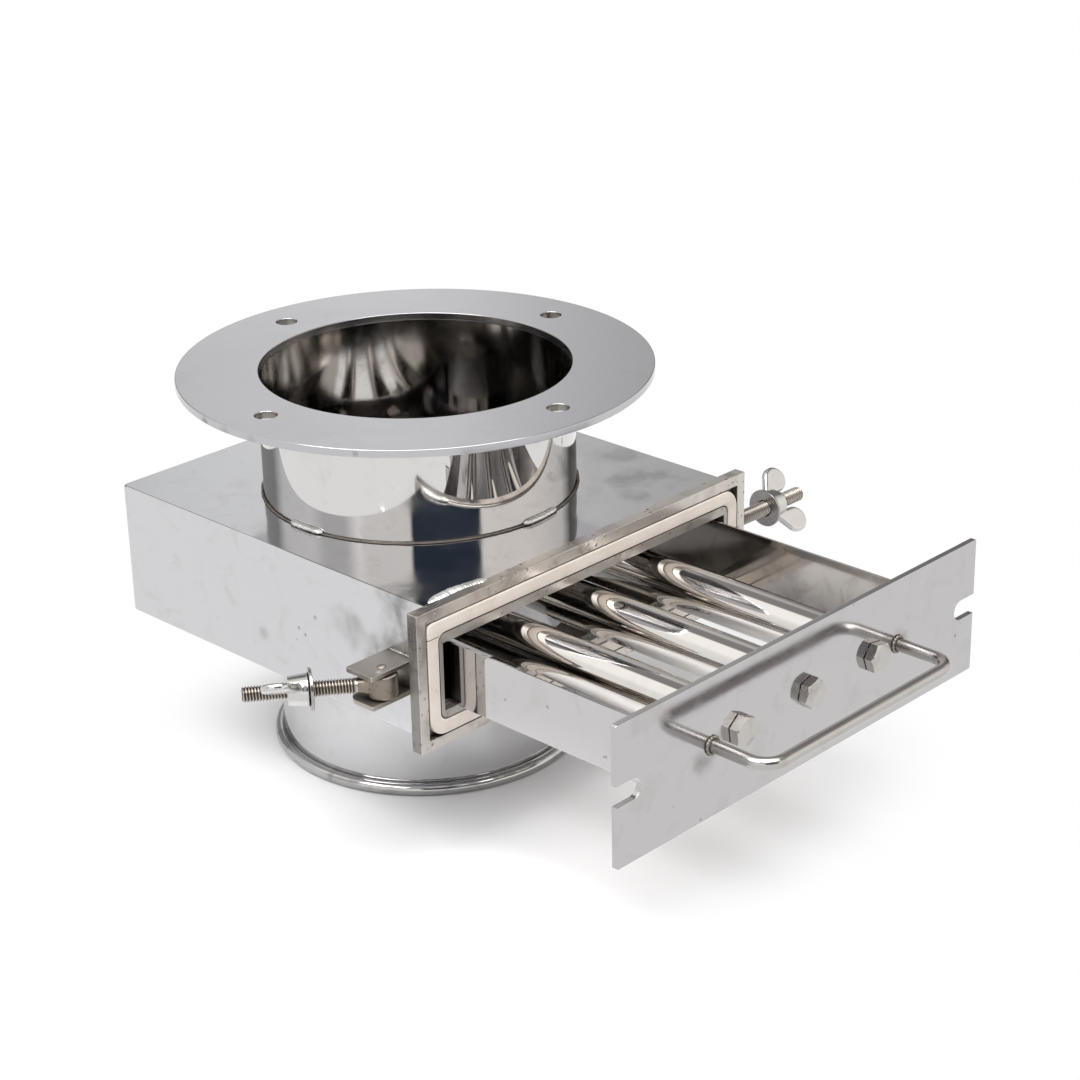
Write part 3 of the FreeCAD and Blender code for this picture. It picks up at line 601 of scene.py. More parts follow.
# Its sides factor paints shade on the frame's faces turned left and right.
ground = metal(
    "ground_frame", (0.57, 0.07), (0.32, 0.13), (0.22, 0.4), 1.0, wave=(0.06, 40.0), grain=0.006,
    stretch=(0.25, 1.0, 0.25), pits=0.32, specks=0.8, marks=(frame_marks, (0.14, 0.14), 0.55),
    soil=(1.0, 3.5), sides=0.45)
rim_metal = metal(
    "pitted_rim", (0.4, 0.07), (0.2, 0.12), (0.28, 0.45), 1.0, wave=(0.06, 60.0), grain=0.008,
    pits=0.25, specks=0.8, soil=(0.9, 3.0))
# Its bright mark is a painted highlight beside the pin.
clevis_metal = metal(
    "ground_clevis", (0.4, 0.09), (0.26, 0.12), (0.22, 0.36), 0.7, wave=(0.05, 45.0), grain=0.004,
    stretch=(1.0, 0.3, 1.0), marks=(clevis_glint, (0.75, 0.02), 1.0), specks=0.4, soil=(1.0, 9.0))
rod_metal = metal(
    "handle_rod", (0.46, 0.03), (0.32, 0.07), (0.17, 0.28), grain=0.0015, stretch=(0.2, 1.0, 1.0),
    marks=(rod_marks, (0.14, 0.22), 1.0), soil=(0.6, 3.0))
weld_metal = metal(
    "weld", (0.42, 0.06), (0.12, 0.16), (0.22, 0.45), 1.0, wave=(0.08, 220.0), grain=0.01, specks=0.8,
    soil=(0.9, 1.6))
grimy_weld = metal(
    "grimy_weld", (0.26, 0.1), (0.1, 0.18), (0.34, 0.52), 1.0, wave=(0.08, 200.0), grain=0.01,
    soil=(1.0, 3.0))
tack_metal = metal(
    "ground_tack", (0.72, 0.02), (0.36, 0.06), (0.34, 0.5), 0.9, wave=(0.03, 120.0), grain=0.006,
    soil=(0.9, 1.2))
# Its depth amount paints shade into the thread's roots.
thread_metal = metal(
    "rolled_thread", (0.48, 0.09), (0.28, 0.14), (0.18, 0.32), 1.0, grain=0.002, soil=(0.4, 0.9),
    depth=0.8)
# Darker than bare steel: the eye's own forged tone with painted shade from the clevis above it; also on the
# pins.
eye_shade_metal = metal(
    "forged_eye", (0.23, 0.15), (0.1, 0.2), (0.26, 0.42), 1.0, wave=(0.6, 130.0), grain=0.006,
    pits=0.12, soil=(0.9, 3.0))
nickel = metal(
    "bright_nickel", (0.6, 0.01), (0.46, 0.04), (0.16, 0.28), wave=(0.02, 60.0), grain=0.001,
    soil=(0.7, 1.6))
washer_metal = metal(
    "washer_steel", (0.4, 0.04), (0.26, 0.08), (0.22, 0.34), 0.8, wave=(0.03, 90.0), grain=0.002,
    soil=(0.7, 1.6))
bolt_metal = metal(
    "hexagon_bolt", (0.5, 0.05), (0.28, 0.1), (0.14, 0.26), 0.8, wave=(0.04, 120.0), grain=0.002,
    soil=(0.7, 1.5))
inside_metal = metal("plain_steel", (0.5, 0.03), (0.38, 0.05), (0.25, 0.4), grain=0.003)
bore_metal = metal(
    "rolled_bore", (0.56, 0.05), (0.36, 0.1), (0.06, 0.13), 0.9, wave=(0.1, 16.0), specks=0.3)
# Painted shade: the outlet's bead, down at the shadowed floor, is darker than its tube.
bead_shade_metal = metal(
    "rolled_bead", (0.46, 0.01), (0.24, 0.05), (0.06, 0.16), 0.9, wave=(0.04, 50.0), specks=0.6)
# Painted shade: the drawer's inside is darker than its outside.
lining_shade_metal = metal("drawer_inside", (0.46, 0.06), (0.26, 0.1), (0.06, 0.16), 1.0, wave=(0.08, 20.0))
# Painted shade: the housing's inside and the flange's bolt holes, far darker than bare steel.
cavity_shade_metal = metal("housing_inside", (0.27, 0.08), (0.16, 0.12), (0.22, 0.36), 0.9, wave=(0.1, 12.0))
magnet_metal = metal("sintered_magnet", (0.16, 0.02), (0.1, 0.03), (0.45, 0.6), 0.6, grain=0.006)


def make_rubber():
    """Cream rubber: faintly clouded and soiled, with painted shade and grime in its corners, and one butt
    joint.
    """
    joint_height, joint_left = 159.2, -130.5
    paint = Paint(bpy.data.materials.new("cream_rubber"))
    cloud = paint.ramp(paint.noise(55.0, 4.0), 0.35, 0.7)
    colour = paint.mix(cloud, (0.72, 0.66, 0.60, 1.0), (0.66, 0.595, 0.53, 1.0))
    soil = paint.times(paint.ramp(paint.noise(170.0, 5.0), 0.6, 0.8), 0.35)
    colour = paint.mix(soil, colour, (0.40, 0.34, 0.27, 1.0))
    # Painted shade with grime: darker where the shape encloses a point.
    edge = paint.times(paint.crevice(1.6), 0.8)
    colour = paint.mix(edge, colour, (0.10, 0.08, 0.06, 1.0))
    place = paint.split(paint.place)
    height = paint.math("ABSOLUTE", paint.math("SUBTRACT", place["Z"], joint_height * MM))
    left = paint.ramp(place["X"], (joint_left - 0.5) * MM, joint_left * MM, 1.0, 0.0)
    seam = paint.times(paint.ramp(height, 0.10 * MM, 0.45 * MM, 1.0, 0.0), left)
    colour = paint.mix(seam, colour, (0.07, 0.055, 0.045, 1.0))
    grain = paint.math("SUBTRACT", paint.noise(700.0, 3.0), paint.times(seam, 3.0))
    inputs = {"Base Color": colour, "Roughness": paint.ramp(cloud, 0.0, 1.0, 0.5, 0.62),
              "Normal": paint.bump(grain, 0.06), "Specular IOR Level": 0.4}
    return paint.show(paint.node("BsdfPrincipled", inputs))


rubber = make_rubber()


# The chute and the housing

def make_flange():
    """The inlet flange with its four bolt holes and the narrow round on its edges."""
    outside, bolt_circle, hole_radius, edge = 152.5, 125, 7.0, 0.5
    holes = ((bolt_circle, 0), (0, bolt_circle), (-bolt_circle, 0), (0, -bolt_circle))
    outlines = [circle(outside, 256), circle(BORE, 256)]
    outlines += [circle(hole_radius, 48, x, y) for x, y in holes]
    shape = plate(outlines, FLANGE_TOP - FLANGE_BOTTOM, edge)
    shape = moved(shape, shift(z=(FLANGE_TOP + FLANGE_BOTTOM) / 2))
    flange = piece("flange_plate", shape, satin, ["inlet_flange"], even=True)

    def is_hole(centre):
        nearest = min((centre.xy - Vector(hole)).length for hole in holes)
        return nearest < hole_radius + 0.2 and FLANGE_BOTTOM + 0.6 < centre.z < FLANGE_TOP - 0.6

    # The bolt holes' walls take the dark metal, as painted shade.
    repaint(flange, cavity_shade_metal, is_hole)


def make_inlet_spout():
    """The rolled inlet tube."""
    heights = np.linspace(HOUSING_TOP, FLANGE_BOTTOM, 12)
    profile = [(SPOUT_OUTSIDE, z) for z in heights] + [(BORE, z) for z in heights[::-1]]
    spout = piece("spout_inlet", revolve(profile, 256), polished, ["inlet_spout"])
    repaint(spout, bore_metal, lambda centre: centre.xy.length < (BORE + SPOUT_OUTSIDE) / 2)


def make_outlet_spout():
    """The rolled outlet tube whose lower edge curls out into a bead."""
    roll, straight_from = 4, 12
    curl = arc((OUTLET_BORE + roll, roll), roll, 180, 488.7, 32)
    heights = np.linspace(straight_from, HOUSING_BOTTOM, 8)
    profile = [(OUTLET_BORE, z) for z in heights[::-1]] + curl + [(OUTLET_OUTSIDE, z) for z in heights]
    spout = piece("spout_outlet", revolve(profile, 256), outlet_metal, ["outlet_spout"])
    # The bead takes the darker metal, as painted shade.
    repaint(spout, bead_shade_metal, lambda centre: centre.z < 9.5 and centre.xy.length > OUTLET_OUTSIDE + 0.2)


def housing_outline(inset):
    """Points round the housing's sheet, always as many, with the front ones last."""
    side, rear = HOUSING_HALF - inset, HOUSING_REAR - inset
    bend = 5.0
    bend_inside = max(bend - inset, 0.5)
    centre = (HOUSING_HALF - bend, HOUSING_REAR - bend)
    points = [(side, y) for y in np.linspace(FRAME_BACK, centre[1], 60)]
    points += arc(centre, bend_inside, 0, 90, 6)[1:]
    points += [(x, rear) for x in np.linspace(centre[0], -centre[0], 60)[1:]]
    points += arc((-centre[0], centre[1]), bend_inside, 90, 180, 6)[1:]
    points += [(-side, y) for y in np.linspace(centre[1], FRAME_BACK, 60)[1:]]
    sides = len(points)
    points += [(x, FRAME_BACK) for x in np.linspace(-side, side, 62)[1:-1]]
    return np.array(points), sides


def housing_rows(edge):
    """Rows of points from the top hole over the outside to the inside, and the outer ones' count."""
    outline = housing_outline(0)[0]
    toward = unit(outline)
    top, bottom = HOUSING_TOP, HOUSING_BOTTOM

    def level(inset, z):
        return np.column_stack([housing_outline(inset)[0], np.full(len(outline), z)])

    def hole(radius, z):
        return np.column_stack([toward * radius, np.full(len(outline), z)])

    turns = np.radians(np.linspace(0, 90, 5))
    rows = [hole(BORE, top)]
    rows += [level(edge * (1 - math.sin(t)), top - edge * (1 - math.cos(t))) for t in turns]
    rows += [level(0, z) for z in np.linspace(top - edge, bottom + edge, 10)[1:-1]]
    rows += [level(edge * (1 - math.cos(t)), bottom + edge * (1 - math.sin(t))) for t in turns]
    outside = len(rows)
    rows += [hole(OUTLET_BORE, bottom), hole(OUTLET_BORE, bottom + SHEET)]
    rows += [level(SHEET, bottom + SHEET), level(SHEET, top - SHEET), hole(BORE, top - SHEET)]
    return rows, outside


def housing_faces(row_count, count, sides, outside):
    """The shell's faces, with the front left open and its edge closed all round."""
    inner_floor = outside + 2
    first, last = 5, outside - 5
    faces = []
    for face in ring_faces(row_count, count, True):
        row = face[0] // count
        at_front = face[0] % count >= sides - 1
        if not (at_front and (first <= row < last or row == inner_floor)):
            faces.append(face)
    for column in range(sides - 1, count):
        beside = (column + 1) % count
        for outer, inner in ((first, inner_floor + 1), (last, inner_floor)):
            faces.append((outer * count + column, outer * count + beside,
                          inner * count + beside, inner * count + column))
    for column in (0, sides - 1):
        strip = [row * count + column for row in range(first, last + 1)]
        faces.append(tuple(strip) + (inner_floor * count + column, (inner_floor + 1) * count + column))
    return faces


def make_housing():
    """The welded housing as one shell: round outer edges, the chute's holes and an open front."""
    outline, sides = housing_outline(0)
    rows, outside = housing_rows(edge=1.6)
    faces = housing_faces(len(rows), len(outline), sides, outside)
    replaced = ["housing_wall", "housing_top", "housing_bottom"]
    shell = piece("housing_shell", (np.concatenate(rows), faces), housing_metal,
                  replaced, crease=40, even=True)
    lining = SHEET * 0.8

    def is_inside(centre):
        deep = abs(centre.x) < HOUSING_HALF - lining and centre.y < HOUSING_REAR - lining
        return deep and HOUSING_BOTTOM + lining < centre.z < HOUSING_TOP - lining

    # The inside takes the dark metal, as painted shade.
    repaint(shell, cavity_shade_metal, is_inside)


def make_chute_welds():
    """The thin weld round the spout's foot, its three ground tacks, and the beads below and above."""
    foot = bead(around(SPOUT_OUTSIDE + 0.5, HOUSING_TOP + 0.4), 1.0, 0.22, 3, closed=True)
    below = bead(around(OUTLET_OUTSIDE + 0.3, HOUSING_BOTTOM - 0.4, steps=480), 0.9, 0.2, 4, closed=True)
    under = bead(around(SPOUT_OUTSIDE + 0.4, FLANGE_BOTTOM - 0.3), 0.8, 0.18, 5, closed=True)
    weld("chute_welds", [foot, below, under], grimy_weld)
    tacks = []
    for start, end, seed in ((174, 190, 11), (-95, -77, 12), (58, 72, 13)):
        path = around(SPOUT_OUTSIDE + 0.8, HOUSING_TOP + 1.4, start, end, 90)
        tacks.append(bead(path, 2.1, 0.10, seed, flat=0.85, pitch=4.0))
    weld("chute_tacks", tacks, tack_metal)


def make_housing_welds():
    """The weld between the housing and its frame, with the rough bright stretch at the corner."""
    front = FRAME_BACK + 0.4
    top = [(x, front, HOUSING_TOP - 0.1) for x in np.linspace(-132, 132, 400)]
    beads = [bead(top, 0.9, 0.2, 21)]
    for seed, sign in ((22, -1), (24, 1)):
        edge = [(sign * (HOUSING_HALF - 0.1), front, z) for z in np.linspace(89, 174, 160)]
        beads.append(bead(edge, 1.0, 0.2, seed, up=(0, 1, 0)))
    weld("housing_welds", beads, weld_metal)
    start, length, wander = -128, 48, 2.4
    rough = [(start + length * t, FRAME_BACK + 2.2 + wander * math.sin(5 * t) * t, HOUSING_TOP + 0.5)
             for t in np.linspace(0, 1, 120)]
    weld("housing_weld_end", [bead(rough, 3.1, 0.20, 31, flat=0.55, pitch=1.9)], tack_metal)


# The mouth

def make_mouth():
    """The frame with its channel, the rim round the mouth and the rubber ring between them."""
    frame_depth, web_depth, rim_middle, ring_middle = 8.0, 3.0, -148.0, -148.25
    mouth = rectangle(-127, 109.5, 127, 153.5)
    outer = plate([rectangle(-147.5, 87.5, 147.5, 177.5, 0.6), rectangle(-140.2, 94.1, 140.2, 169.9, 0.8)],
                  frame_depth, 0.45)
    web = plate([rectangle(-141, 93.3, 141, 170.7), mouth], web_depth, 0.1, 1)
    shape = join(moved(outer, on_y(y=FRAME_BACK - frame_depth / 2)),
                 moved(web, on_y(y=FRAME_BACK - web_depth / 2)))
    piece("frame_ring", shape, ground, ["mouth_frame"], even=True)
    rim = plate([rectangle(-130, 104.3, 130, 159.7, 5.0), mouth], 5.0, 0.35)
    piece("rim_ring", moved(rim, on_y(y=rim_middle)), rim_metal, ["mouth_rim"], even=True)
    left, right, bottom, top = -139.6, 139.6, 94.7, 169.3
    outline = round_corners([(left, bottom, 13), (right, bottom, 12), (right, top, 13), (left, top, 5)], 12)
    hole = rectangle(-130.6, 103.7, 130.6, 160.3, 5.5)
    ring = moved(plate([outline, hole], 5.5, 1.1, 4), on_y(y=ring_middle))
    piece("gasket_ring", ring, rubber, ["mouth_gasket"], crease=60)


# The latches

def make_clevis(side, sign):
    """The folded bracket; its upper ear keeps square corners and its lower one is rounded off."""
    wall = HOUSING_HALF - PIVOT_SIDE
    rear, front, tip, sheet, ear_height = -7.2, 15.3, 14.7, 3.0, 9.5
    shapes = []
    for height, corner in ((ear_height, 1.2), (-ear_height, 8.0)):
        outline = round_corners([(wall, rear, 0), (tip, rear, 0.8), (tip, front, corner),
                                 (wall, front, 0.8)], 10)
        outline = [(sign * x, y) for x, y in outline]
        shapes.append(moved(plate([outline], sheet, 0.35), shift(z=height)))
    web = plate([rectangle(rear, -10.6, front, 10.6, 0.5)], sheet, 0.35)
    stand = Matrix(((0, 0, 1, sign * (wall + sheet / 2)), (1, 0, 0, 0), (0, 1, 0, 0), (0, 0, 0, 1)))
    shapes.append(moved(web, stand))
    pivot = shift(*latch_pivot(sign))
    piece("latch_bracket_" + side, moved(join(*shapes), pivot), clevis_metal,
          ["clevis_" + side], even=True)
    beads = []
    for seed, height in ((41, 11.2), (42, -11.2)):
        foot = [(sign * (wall + 0.2), y, height) for y in np.linspace(-6, 14.5, 60)]
        beads.append(moved(bead(foot, 1.1, 0.2, seed), pivot))
    weld("latch_bracket_weld_" + side, beads, weld_metal)
    dome = [(0.05, 12.15), (1.0, 12.05), (1.9, 11.75), (2.6, 11.3), (3.0, 10.9)]
    profile = [(r, -z) for r, z in dome] + dome[::-1]
    piece("latch_pin_" + side, moved(revolve(profile, 40, False), pivot), eye_shade_metal,
          ["clevis_pin_" + side], crease=50)


def thread(start, end, step=0.15, sides=36, point=1.2):
    """A rolled thread along X, with a short point at its end."""
    places = np.arange(start, end + step / 2, step)
    angles = even_turn(sides)
    phase = (places[:, None] / THREAD_PITCH - angles[None, :] / (2 * math.pi)) % 1.0
    crest = np.clip(np.abs(2 * phase - 1) * 1.3 - 0.15, 0, 1)
    radii = THREAD_ROOT + (THREAD_RADIUS - THREAD_ROOT) * crest
    limit = THREAD_RADIUS - np.clip(places - (end - point), 0, None)
    radii = np.minimum(radii, limit[:, None])
    points = np.stack([np.broadcast_to(places[:, None], radii.shape), radii * np.cos(angles),
                       radii * np.sin(angles)], 2).reshape(-1, 3)
    return points, tube_faces(len(places), sides)


def make_swing_bolt(side, sign):
    """The forged eye with its waisted neck, and the long thread."""
    thread_start, eye_reach = 15.6, 15.5
    barrel = [(8.3, 7.4), (9.2, 7.0), (9.45, 6.2)]
    barrel = revolve([(r, -z) for r, z in barrel] + barrel[::-1], 72, False)
    waist = [(6.9, 5.0), (6.6, 9.0), (5.4, 11.5), (4.75, 14.0), (4.75, 16.2)]
    neck = moved(revolve(waist, 48, False), rotation(90, "Y"))
    shape = join(cast(join(barrel, neck), 0.5, 5), thread(thread_start, SWING_LENGTH))
    place = on_latch(side, sign)
    name = "swing_bolt_" + side
    thing = piece("eye_bolt_" + side, moved(shape, place), thread_metal, [name], name, 50)
    pivot = latch_pivot(sign)
    repaint(thing, eye_shade_metal, lambda centre: (centre - pivot).length < eye_reach)
    along = place.to_3x3().col[0]
    depth = thing.data.attributes.new("depth", "FLOAT", "POINT")
    for vertex in thing.data.vertices:
        away = vertex.co / MM - pivot
        radius = (away - along * away.dot(along)).length
        depth.data[vertex.index].value = (THREAD_RADIUS - radius) / (THREAD_RADIUS - THREAD_ROOT)


def make_washer(side, sign):
    """The flat washer, which hangs a little askew on the thread."""
    half = 1.0
    profile = [(5.6, -0.7), (5.9, -half), (12.5, -half), (12.9, -0.7), (12.9, 0.7), (12.5, half),
               (5.9, half), (5.6, 0.7)]
    askew = rotation(WASHER_LEAN[side], "Z") @ rotation(90, "Y")
    shape = moved(revolve(profile, 96), shift(WASHER_START[side] + half) @ askew)
    name = "washer_" + side
    piece("flat_" + name, moved(shape, on_latch(side, sign)), washer_metal, [name], name)


def pillow(outline, thickness, edge, steps=5):
    """A flat convex shape about z = 0 with a fully rounded rim."""
    outline = np.array(outline)
    along = np.roll(outline, -1, 0) - np.roll(outline, 1, 0)
    inward = unit(np.column_stack([-along[:, 1], along[:, 0]]))
    rows = []
    for turn in np.linspace(0, math.pi, 2 * steps):
        inset = edge * (1 - math.sin(turn))
        height = (thickness / 2 - edge) * (1 if turn < math.pi / 2 else -1) + edge * math.cos(turn)
        rows.append(np.column_stack([outline + inward * inset, np.full(len(outline), height)]))
    return np.concatenate(rows), tube_faces(len(rows), len(outline))


def make_wing_nut(side, sign):
    """The cast wing nut: a tapered hub and two round ears that run into it softly."""
    hub = revolve([(5.2, 0.0), (9.6, 0.0), (10.0, 0.6), (8.7, 12.1), (8.2, 12.7), (5.2, 12.7)], 96)
    hub = moved(hub, rotation(90, "Y"))
    ear = [(19.0 + 9.5 * x, 15.2 + 8.9 * y) for x, y in circle(1.0, 72)] + [(2.2, 6.2), (11.4, 6.2)]
    ear = [ear[index] for index in convex_hull_2d(ear)]
    wings = [moved(pillow(ear, 5.0, 2.1), rotation(WING_LEAN[side] + 90 + turn, "X")) for turn in (0, 180)]
    shape = cast(join(hub, *wings), 0.4, 7)
    place = on_latch(side, sign) @ shift(WASHER_START[side] + 2.0)
    name = "wing_nut_" + side
    piece("cast_" + name, moved(shape, place), nickel, [name], name, 70)


# The drawer

def make_drawer_frame():
    """The drawer's strip, folded at the two rear corners."""
    corners = [(-DRAWER_HALF, PLATE_BACK, 0), (-DRAWER_INSIDE, PLATE_BACK, 0),
               (-DRAWER_INSIDE, REAR_INSIDE, 1.5), (DRAWER_INSIDE, REAR_INSIDE, 1.5),
               (DRAWER_INSIDE, PLATE_BACK, 0), (DRAWER_HALF, PLATE_BACK, 0),
               (DRAWER_HALF, DRAWER_REAR, 3.0), (-DRAWER_HALF, DRAWER_REAR, 3.0)]
    strip = plate([round_corners(corners, 8)], DRAWER_TOP - DRAWER_BOTTOM, 0.25)
    strip = piece("drawer_strip", moved(strip, shift(z=TUBE_HEIGHT)), drawer_metal,
                  ["drawer_frame"], "drawer", even=True)
    # Its inside takes the darker metal, as painted shade.
    repaint(strip, lining_shade_metal,
            lambda centre: abs(centre.x) < DRAWER_INSIDE + 0.1 and centre.y < REAR_INSIDE + 0.1)
    seams = []
    for seed, sign in ((50, -1), (52, 1)):
        path = [(sign * (DRAWER_HALF - 0.1), PLATE_BACK + 0.3, z)
                for z in np.linspace(DRAWER_BOTTOM + 1, DRAWER_TOP - 1, 90)]
        seams.append(bead(path, 0.8, 0.2, seed, up=(0, 1, 0)))
    weld("drawer_welds", seams, weld_metal, "drawer")


def make_front_plate():
    """The front plate with its two notches, every edge a little rounded."""
    half, low, high, cut = 164.0, 85.0, 173.0, 0.8
    notch, notch_radius, notch_end = 129.8, 6.4, 150.4
    right = [(half, notch - notch_radius), (notch_end, notch - notch_radius)]
    right += arc((notch_end, notch), notch_radius, 270, 90, 24) + [(half, notch + notch_radius)]
    left = [(-x, y) for x, y in right[::-1]]
    bottom = [(-half + cut, low), (half - cut, low), (half, low + cut)]
    top = [(half, high - cut), (half - cut, high), (-half + cut, high), (-half, high - cut)]
    outline = bottom + right + top + left + [(-half, low + cut)]
    shape = moved(plate([outline], PLATE_BACK - PLATE_FRONT, 0.4), on_y(y=(PLATE_BACK + PLATE_FRONT) / 2))
    piece("plate_front", shape, plate_metal, ["front_plate"], "drawer", even=True)


def make_handle():
    """The bent rod and the weld at each of its feet."""
    half, reach, bend, height, foot = 85.5, 40.6, 13.0, 130.5, 4.5
    front = PLATE_FRONT - reach
    path = [(-half, y) for y in np.linspace(PLATE_FRONT + 0.5, front + bend, 12)]
    path += arc((-half + bend, front + bend), bend, 180, 270, 14)[1:]
    path += [(x, front) for x in np.linspace(-half + bend, half - bend, 40)[1:]]
    path += arc((half - bend, front + bend), bend, 270, 360, 14)[1:]
    path += [(half, y) for y in np.linspace(front + bend, PLATE_FRONT + 0.5, 12)[1:]]
    rod = sweep([(x, y, height) for x, y in path], 4.0, 32)
    piece("handle_rod", rod, rod_metal, ["handle"], "drawer")
    rings = []
    for seed, x in ((61, -half), (62, half)):
        ring = [(x + foot * math.cos(a), PLATE_FRONT - 0.4, height + foot * math.sin(a))
                for a in even_turn(120)]
        rings.append(bead(ring, 1.25, 0.25, seed, closed=True, flat=0.9, up=(0, 1, 0)))
    weld("handle_welds", rings, grimy_weld, "drawer")


def hexagon_bolt():
    """A hexagon bolt that sits on z = 0, with a chamfered head and a short shank below."""
    flat, height, collar, shank, sides = 8.5, 6.4, 8.1, 4.9, 96
    angles = even_turn(sides)
    hexagon = flat / np.cos((angles + math.pi / 6) % (math.pi / 3) - math.pi / 6)
    cone = height - (hexagon - flat * 0.96) * math.tan(math.radians(30))
    rings = [(0.1, height - 0.25), (flat * 0.55, height - 0.22), (flat * 0.90, height),
             (flat * 0.96, height), (hexagon, cone), (hexagon, 0.5), (hexagon - 0.25, 0.25),
             (collar, 0.2), (collar, 0.0), (shank, 0.0), (shank, -12.0)]
    points = [np.column_stack([r * np.cos(angles), r * np.sin(angles), np.ones(sides) * z]) for r, z in rings]
    return np.concatenate(points), tube_faces(len(rings), sides)


def make_hexagon_bolts():
    """The bolts that hold the tubes at both ends, each turned as it came to rest."""
    turns = {"left": 8, "centre": -14, "right": 21}
    for name, step in TUBES:
        for end, seat, flip in (("front", PLATE_FRONT, 0), ("rear", DRAWER_REAR, 180)):
            stand = on_y(step * TUBE_PITCH, seat, TUBE_HEIGHT)
            shape = moved(hexagon_bolt(), stand @ rotation(flip, "X") @ rotation(turns[name], "Z"))
            piece("bolt_%s_%s" % (end, name), shape, bolt_metal,
                  ["%s_bolt_%s" % (end, name)], "drawer", 24)


def make_tubes():
    """The three polished magnet tubes between the front plate and the drawer's rear."""
    outside, inside = 15.0, 14.0
    places = np.linspace(PLATE_BACK, REAR_INSIDE, 40)
    profile = [(outside, y) for y in places] + [(inside, y) for y in places[::-1]]
    for name, step in TUBES:
        stand = shift(step * TUBE_PITCH, 0, TUBE_HEIGHT) @ rotation(-90, "X")
        piece("tube_" + name, moved(revolve(profile, 160), stand), tube_metal,
              ["tube_sleeve_" + name], "drawer")


def dress_hidden_solids():
    """Give the solids that no piece replaces their own metals."""
    metals = {"magnets": magnet_metal, "runner": drawer_metal}
    for node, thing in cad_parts.items():
        thing.data.materials.clear()
        thing.data.materials.append(metals.get(node.split("_")[0], inside_metal))


make_flange()
make_inlet_spout()
make_outlet_spout()
make_housing()
make_chute_welds()
make_housing_welds()
make_mouth()
for latch_side, latch_sign in SIDES:
    make_clevis(latch_side, latch_sign)
    make_swing_bolt(latch_side, latch_sign)
    make_washer(latch_side, latch_sign)
    make_wing_nut(latch_side, latch_sign)
make_drawer_frame()
make_front_plate()
make_handle()
make_hexagon_bolts()
make_tubes()
dress_hidden_solids()


# Floor, light and camera

WHITE = (1.0, 1.0, 1.0, 1.0)
WALL_GAIN = 1.4
# Direction in degrees round Z, brightness and warmth of the wall that the metal sees there
WALL_TONES = [(-175, 1.15, 0.02), (-145, 1.15, 0.02), (-88, 1.25, 0.05), (-45, 1.2, 0.05),
              (-8, 0.9, 0.03), (8, 0.13, 0.02), (35, 0.25, 0.02), (39, 0.51, 0.01), (43, 0.66, 0.0),
              (47, 1.0, 0.0), (54, 0.85, -0.01), (58, 0.45, 0.0), (64, 0.36, 0.0), (95, 0.36, 0.0),
              (108, 0.95, 0.0), (140, 1.05, 0.0), (152, 0.78, 0.0), (169, 0.78, 0.0)]
WALL_SEAM = (1.0, 0.98, 0.96, 1.0)
SLOPE_DIM = (0.30, 0.29, 0.29, 1.0)
SLOPE_BRIGHT = (1.28, 1.27, 1.25, 1.0)
CEILING = (0.9, 0.88, 0.86, 1.0)
NAVY = (0.035, 0.05, 0.075, 1.0)
NAVY_TURN = (math.radians(-141), math.radians(-90))
LAMP_AIM = Vector((0.05, 0.0, 0.0))


def make_floor():
    """A wide white floor that keeps the shadow near the object and fades to plain white."""
    paint = Paint(bpy.data.materials.new("floor_white"))
    squeezed = paint.vector("MULTIPLY", paint.place, (0.87, 1.0, 1.0))
    far = paint.ramp(paint.vector("DISTANCE", squeezed, (0.0, -0.085, 0.0)), 0.145, 0.275)
    cloud = paint.ramp(paint.noise(3.0, 2.0), 0.3, 0.7)
    colour = paint.mix(cloud, (0.80, 0.80, 0.805, 1.0), (0.81, 0.81, 0.815, 1.0))
    matt = paint.node("BsdfDiffuse", {"Color": colour})
    white = paint.node("Emission", {"Color": WHITE, "Strength": 1.0})
    paint.show(paint.node("MixShader", {0: far, 1: matt.outputs[0], 2: white.outputs[0]}))
    points, faces = revolve([(1, 0.0), (300, 0.0), (800, 0.0), (12000, 0.0)], 96, False)
    mesh = new_mesh("floor", (points, faces[:-1]))
    mesh.materials.append(paint.owner)
    floor = new_object("floor", mesh)


def wall_colours(paint, turn):
    """The walls' colour by the direction round Z."""
    share = paint.ramp(turn, -math.pi, math.pi, kind="LINEAR")
    walls = paint.node("ValToRGB", {0: share})
    stops = walls.color_ramp.elements
    for stop in stops:
        stop.color = WALL_SEAM
    for degrees, level, warmth in WALL_TONES:
        stops.new((degrees + 180) / 360).color = grey(level / WALL_GAIN, warmth)
    return paint.vector("SCALE", walls.outputs[0], WALL_GAIN)


def navy_share(paint, turn, height, soft=0.03):
    """Where the room's dark blue patch is."""
    first, last = NAVY_TURN
    return paint.times(
        paint.ramp(turn, first - soft, first + soft), paint.ramp(turn, last - soft, last + soft, 1.0, 0.0),
        paint.ramp(height, 0.17, 0.23), paint.ramp(height, 0.59, 0.65, 1.0, 0.0))


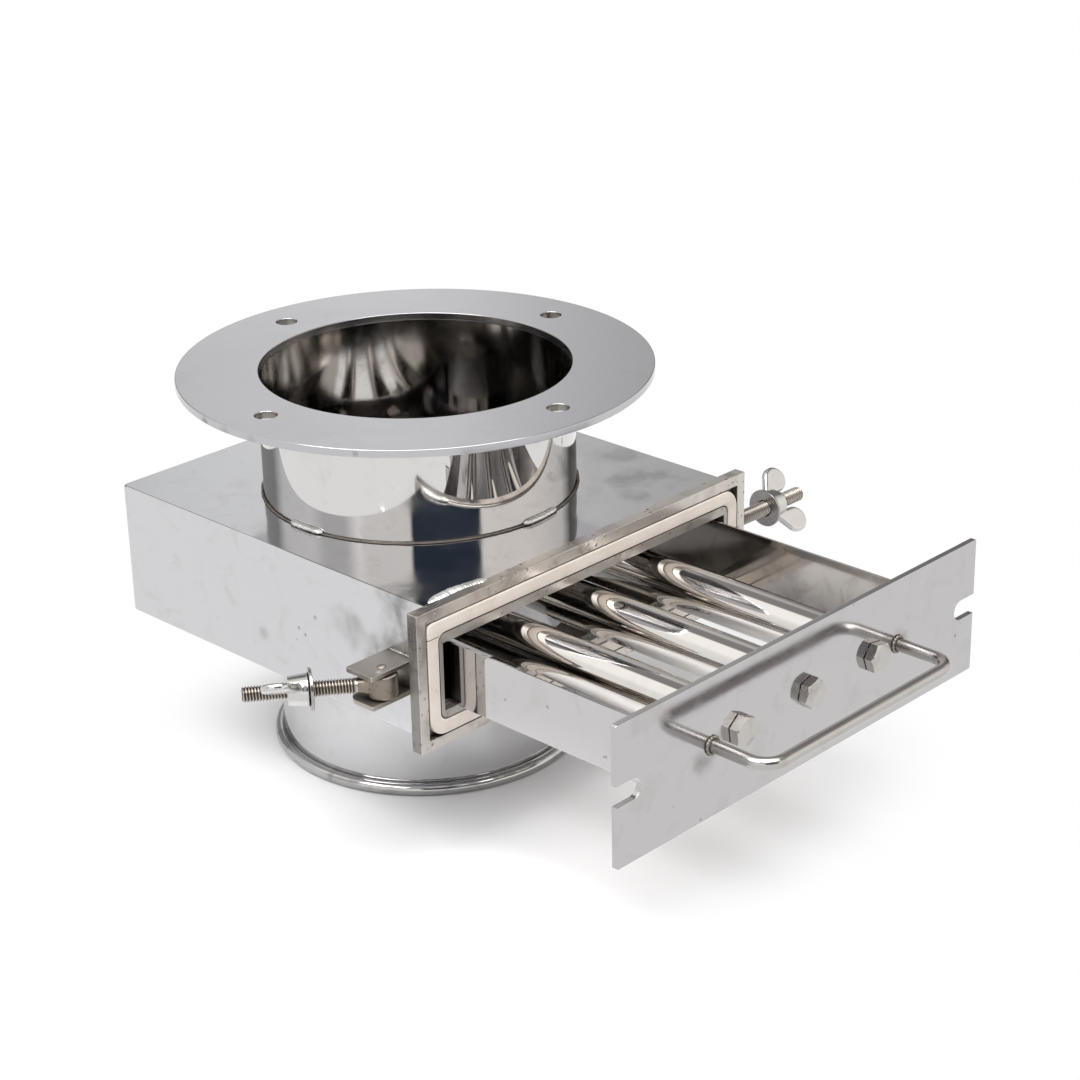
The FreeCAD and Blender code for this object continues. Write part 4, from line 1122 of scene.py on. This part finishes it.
def make_world():
    """The room that the metal mirrors: walls of several tones by direction, and a dim ceiling."""
    paint = Paint(bpy.data.worlds.new("studio"))
    bpy.context.scene.world = paint.owner
    direction = paint.split(paint.coordinates["Generated"])
    height = direction["Z"]
    turn = paint.math("ARCTAN2", direction["Y"], direction["X"])
    walls = wall_colours(paint, turn)
    behind = paint.times(paint.ramp(turn, math.radians(80), math.radians(90)),
                        paint.ramp(turn, math.radians(150), math.radians(170), 1.0, 0.0))
    slope = paint.mix(behind, SLOPE_DIM, SLOPE_BRIGHT)
    ceiling = paint.mix(paint.ramp(height, 0.80, 0.95), slope, CEILING)
    colour = paint.mix(paint.ramp(height, 0.50, 0.68), walls, ceiling)
    colour = paint.mix(navy_share(paint, turn, height), colour, NAVY)
    path = paint.node("LightPath").outputs
    less = paint.times(path["Is Diffuse Ray"], 0.15)
    room = {"Color": colour, "Strength": paint.math("SUBTRACT", 1.0, less)}
    room = paint.node("Background", room).outputs[0]
    white = paint.node("Background", {"Color": WHITE}).outputs[0]
    shown = paint.node("MixShader", {0: path["Is Camera Ray"], 1: room, 2: white})
    paint.show(shown, "OutputWorld")


def make_lamp(name, place, size, power):
    """A soft square lamp that lights the object; its place and size are in metres."""
    data = bpy.data.lights.new(name, "AREA")
    data.shape = "RECTANGLE"
    data.size = data.size_y = size
    data.energy = power
    lamp = new_object(name, data)
    lamp.location = place
    lamp.rotation_mode = "QUATERNION"
    lamp.rotation_quaternion = (LAMP_AIM - Vector(place)).to_track_quat("-Z", "Y")


def make_camera():
    """A camera with the photograph's place and lens."""
    azimuth, elevation, roll = -45.682, 23.545, -1.248
    aim, distance = Vector((53.6, -54.9, 132.4)), 1660.6
    sensor, lens = 36.0, 2529.2 / 1080
    data = bpy.data.cameras.new("camera")
    data.sensor_width = sensor
    data.lens = sensor * lens
    data.clip_start, data.clip_end = 0.05, 60.0
    camera = new_object("camera", data)
    looking = rotation(azimuth, "Z") @ rotation(90 - elevation, "X") @ rotation(roll, "Z")
    camera.matrix_world = shift(*aim * MM) @ looking @ shift(z=distance * MM)
    bpy.context.scene.camera = camera


make_floor()
make_world()
make_lamp("side_softbox", (-0.85, -0.1, 1.25), 0.8, 13.5)
make_lamp("front_softbox", (-0.2, -0.6, 1.4), 1.1, 16.5)
make_camera()
bpy.context.scene.view_settings.view_transform = "Standard"
